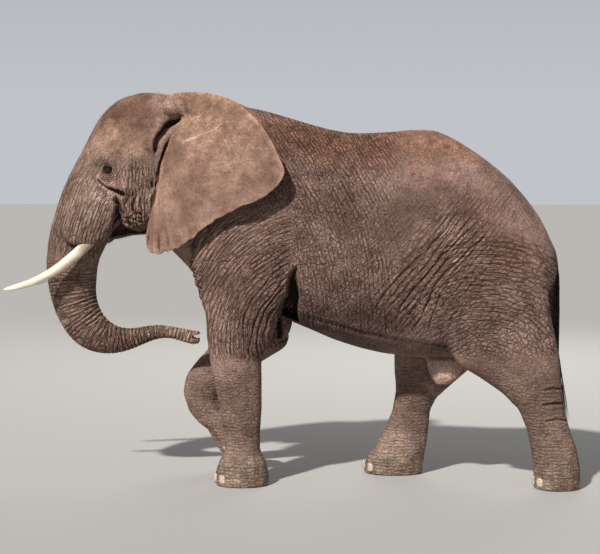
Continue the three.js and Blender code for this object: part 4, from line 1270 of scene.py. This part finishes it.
def hair_mesh(name, ring, seats):
    """A mesh of all the strands, with each one's patch of the map OFBake at its root's seat: across
    the patch runs the way round the strand, and up it the way along."""
    count, rows, sides, _ = ring.shape
    i, j, k = np.meshgrid(np.arange(count), np.arange(rows - 1), np.arange(sides), indexing="ij")
    walls = np.stack([((i * rows + row) * sides + turn % sides).ravel() for row, turn in (
        (j, k), (j, k + 1), (j + 1, k + 1), (j + 1, k))], axis=1)
    starts = np.arange(count) * rows * sides
    caps = [np.stack([starts + base + order for order in turns], axis=1)
            for base, turns in ((0, range(sides - 1, -1, -1)), ((rows - 1) * sides, range(sides)))]
    mesh = bpy.data.meshes.new(name)
    mesh.from_pydata(ring.reshape(-1, 3).tolist(), [], walls.tolist() + sum(
        (cap.tolist() for cap in caps), []))
    corner = np.empty(len(mesh.loops), np.int32)
    mesh.loops.foreach_get("vertex_index", corner)
    strand, row, turn = corner // (rows * sides), corner // sides % rows, corner % sides
    across = seats[strand] + PATCH * (np.stack([turn / sides, row / (rows - 1)], axis=1) - 0.5)
    layer = mesh.uv_layers.new(name="OFBake")
    layer.uv.foreach_set("vector", np.clip(across, 0, 1).astype(np.float32).ravel())
    mesh.shade_smooth()
    return mesh


hair_finish, tree, shader = finish("hair_finish")
fleck = noise(tree, node(tree, "ShaderNodeTexCoord").outputs["Object"], 40.0, 3.0)
hair = mixed(tree, smooth_range(tree, fleck, 0.35, 0.65), (0.016, 0.012, 0.010),
             (0.060, 0.046, 0.037))
fill(tree, shader, {"Base Color": hair,
                    "Roughness": smooth_range(tree, fleck, 0.3, 0.7, 0.35, 0.60)})

# Tail wires: two fringes, rooted along the front and the back edge of the tail's flattened end.
# Each row of the tail's stem: its height, where it stands along the body, and half its thickness.
rng = np.random.default_rng(41)
WIRES = 800
WIRE_ROOTS = 0.30
TAIL_STEM = [(0.86, 2.192, 0.021), (1.15, 2.190, 0.029)]
stem_z, stem_x, stem_half = np.array(TAIL_STEM).T
tail_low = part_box("tail")[0]
tuft_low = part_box("tail_tuft")[0]
edge = rng.choice([-1.0, 1.0], WIRES)
drop = rng.uniform(0, 1, WIRES) ** 0.7
root_z = tail_low[2] + WIRE_ROOTS * (1 - drop)
root_x = np.interp(root_z, stem_z, stem_x) + SHIFT
half = np.interp(root_z, stem_z, stem_half)
roots = stack(root_x + edge * half * 0.72, rng.uniform(-0.6, 0.6, WIRES) * half, root_z)
end_z = rng.uniform(tuft_low[2] + 0.01, tuft_low[2] + 0.26, WIRES)
ways = unit(stack(edge * rng.uniform(0.0, 0.22, WIRES), rng.normal(0, 0.05, WIRES),
                  -np.ones(WIRES)))
lengths = (root_z - end_z) / -ways[:, 2]
bends = stack(-edge * rng.uniform(0.0, 0.07, WIRES) * (lengths / 0.5),
              rng.normal(0, 0.010, WIRES), np.zeros(WIRES))
wires = strands(roots, ways, lengths, bends, rng.uniform(0.0010, 0.0019, WIRES), 10, 4)
seats = stack(0.5 + 0.45 * np.arctan2(roots[:, 1], edge) / np.pi,
              0.05 + 0.9 * (root_z - root_z.min()) / np.ptp(root_z))
add_piece("tail_wires", hair_mesh("tail_wires", wires, seats), hair_finish, "hair", "tail_tuft")

# Lashes: long and stiff, fanned along the upper lid and drooping outwards; the lower ones short.
LASHES = 84
UPPER_LASHES = 58
upper = np.arange(LASHES) < UPPER_LASHES
for side, name in SIDES:
    share = rng.uniform(-0.92, 0.92, LASHES)
    dx = share * OPENING[0]
    shut = 1 - share**2
    dz = np.where(upper, OPENING[1] * shut**0.75, -OPENING[2] * shut)
    bulge = np.sqrt(np.maximum((BALL + LID * 0.6)**2 - dx**2 - dz**2, 0.0001))
    roots = stack(EYE[0] + dx, side * (abs(EYE[1]) + bulge - 0.002), EYE[2] + dz)
    ways = unit(stack(share * 0.35 - 0.10 + rng.normal(0, 0.10, LASHES),
                      np.full(LASHES, side * 1.0),
                      np.where(upper, -0.25, -0.35) + rng.normal(0, 0.12, LASHES)))
    lengths = np.where(upper, rng.uniform(0.030, 0.052, LASHES),
                       rng.uniform(0.010, 0.020, LASHES))
    bends = stack(np.zeros(LASHES), np.zeros(LASHES),
                  np.where(upper, -0.024, -0.006) * rng.uniform(0.6, 1.2, LASHES))
    fan = strands(roots, ways, lengths, bends, rng.uniform(0.00035, 0.00055, LASHES), 6, 3)
    seats = stack(0.5 + 0.4 * share, np.where(upper, 0.7, 0.3))
    add_piece(f"lashes_{name}", hair_mesh("lashes", fan, seats), hair_finish, "hair")

# Bristles: scattered over the skin where the real ones grow thickest, leaning back with the lie.
BRISTLES = 2600
LIE = (0.45, 0.0, -0.45)
points = values_of(skin.vertices, "co", 3)
facing = normals()
x, y, z = points.T
crown = ramp(x, -0.95, -1.15) * ramp(z, 2.95, 3.12) * (facing[:, 2] > 0.1)
chin = hump(x, z, (-1.42, 2.09), (0.24, 0.10)) * (facing[:, 2] < 0.2)
bridge = ramp(x, -0.9, -1.3) * ramp(z, 1.0, 1.3) * (np.abs(y) < 0.16) * (facing[:, 0] < -0.4) * 0.6
spine = ramp(x, -0.8, -0.6) * ramp(facing[:, 2], 0.75, 0.95) * (z > 2.7) * 0.35
tip = hump(x, z, (-0.85, 1.24), (0.16, 0.07)) * 0.25
thick = crown + 1.6 * chin + bridge + spine + tip
picked = rng.choice(len(points), BRISTLES, replace=False, p=thick / thick.sum())
out = facing[picked]
roots = points[picked] - 0.001 * out
lie = np.array(LIE) + rng.normal(0, 0.28, (BRISTLES, 3))
ways = unit(out + lie - out * np.sum(lie * out, axis=1)[:, None])
lengths = rng.uniform(0.012, 0.032, BRISTLES)
bends = 0.25 * lengths[:, None] * (lie - 0.3 * out)
coat = strands(roots, ways, lengths, bends, rng.uniform(0.00030, 0.00050, BRISTLES), 3, 3)
# the unwrap is the skin rolled out about a line from brow to tail
seats = stack(0.02 + 0.96 * (roots[:, 0] - x.min()) / np.ptp(x),
              0.5 + 0.48 * np.arctan2(roots[:, 1], roots[:, 2] - 1.9) / np.pi)
add_piece("bristles", hair_mesh("bristles", coat, seats), hair_finish, "hair")
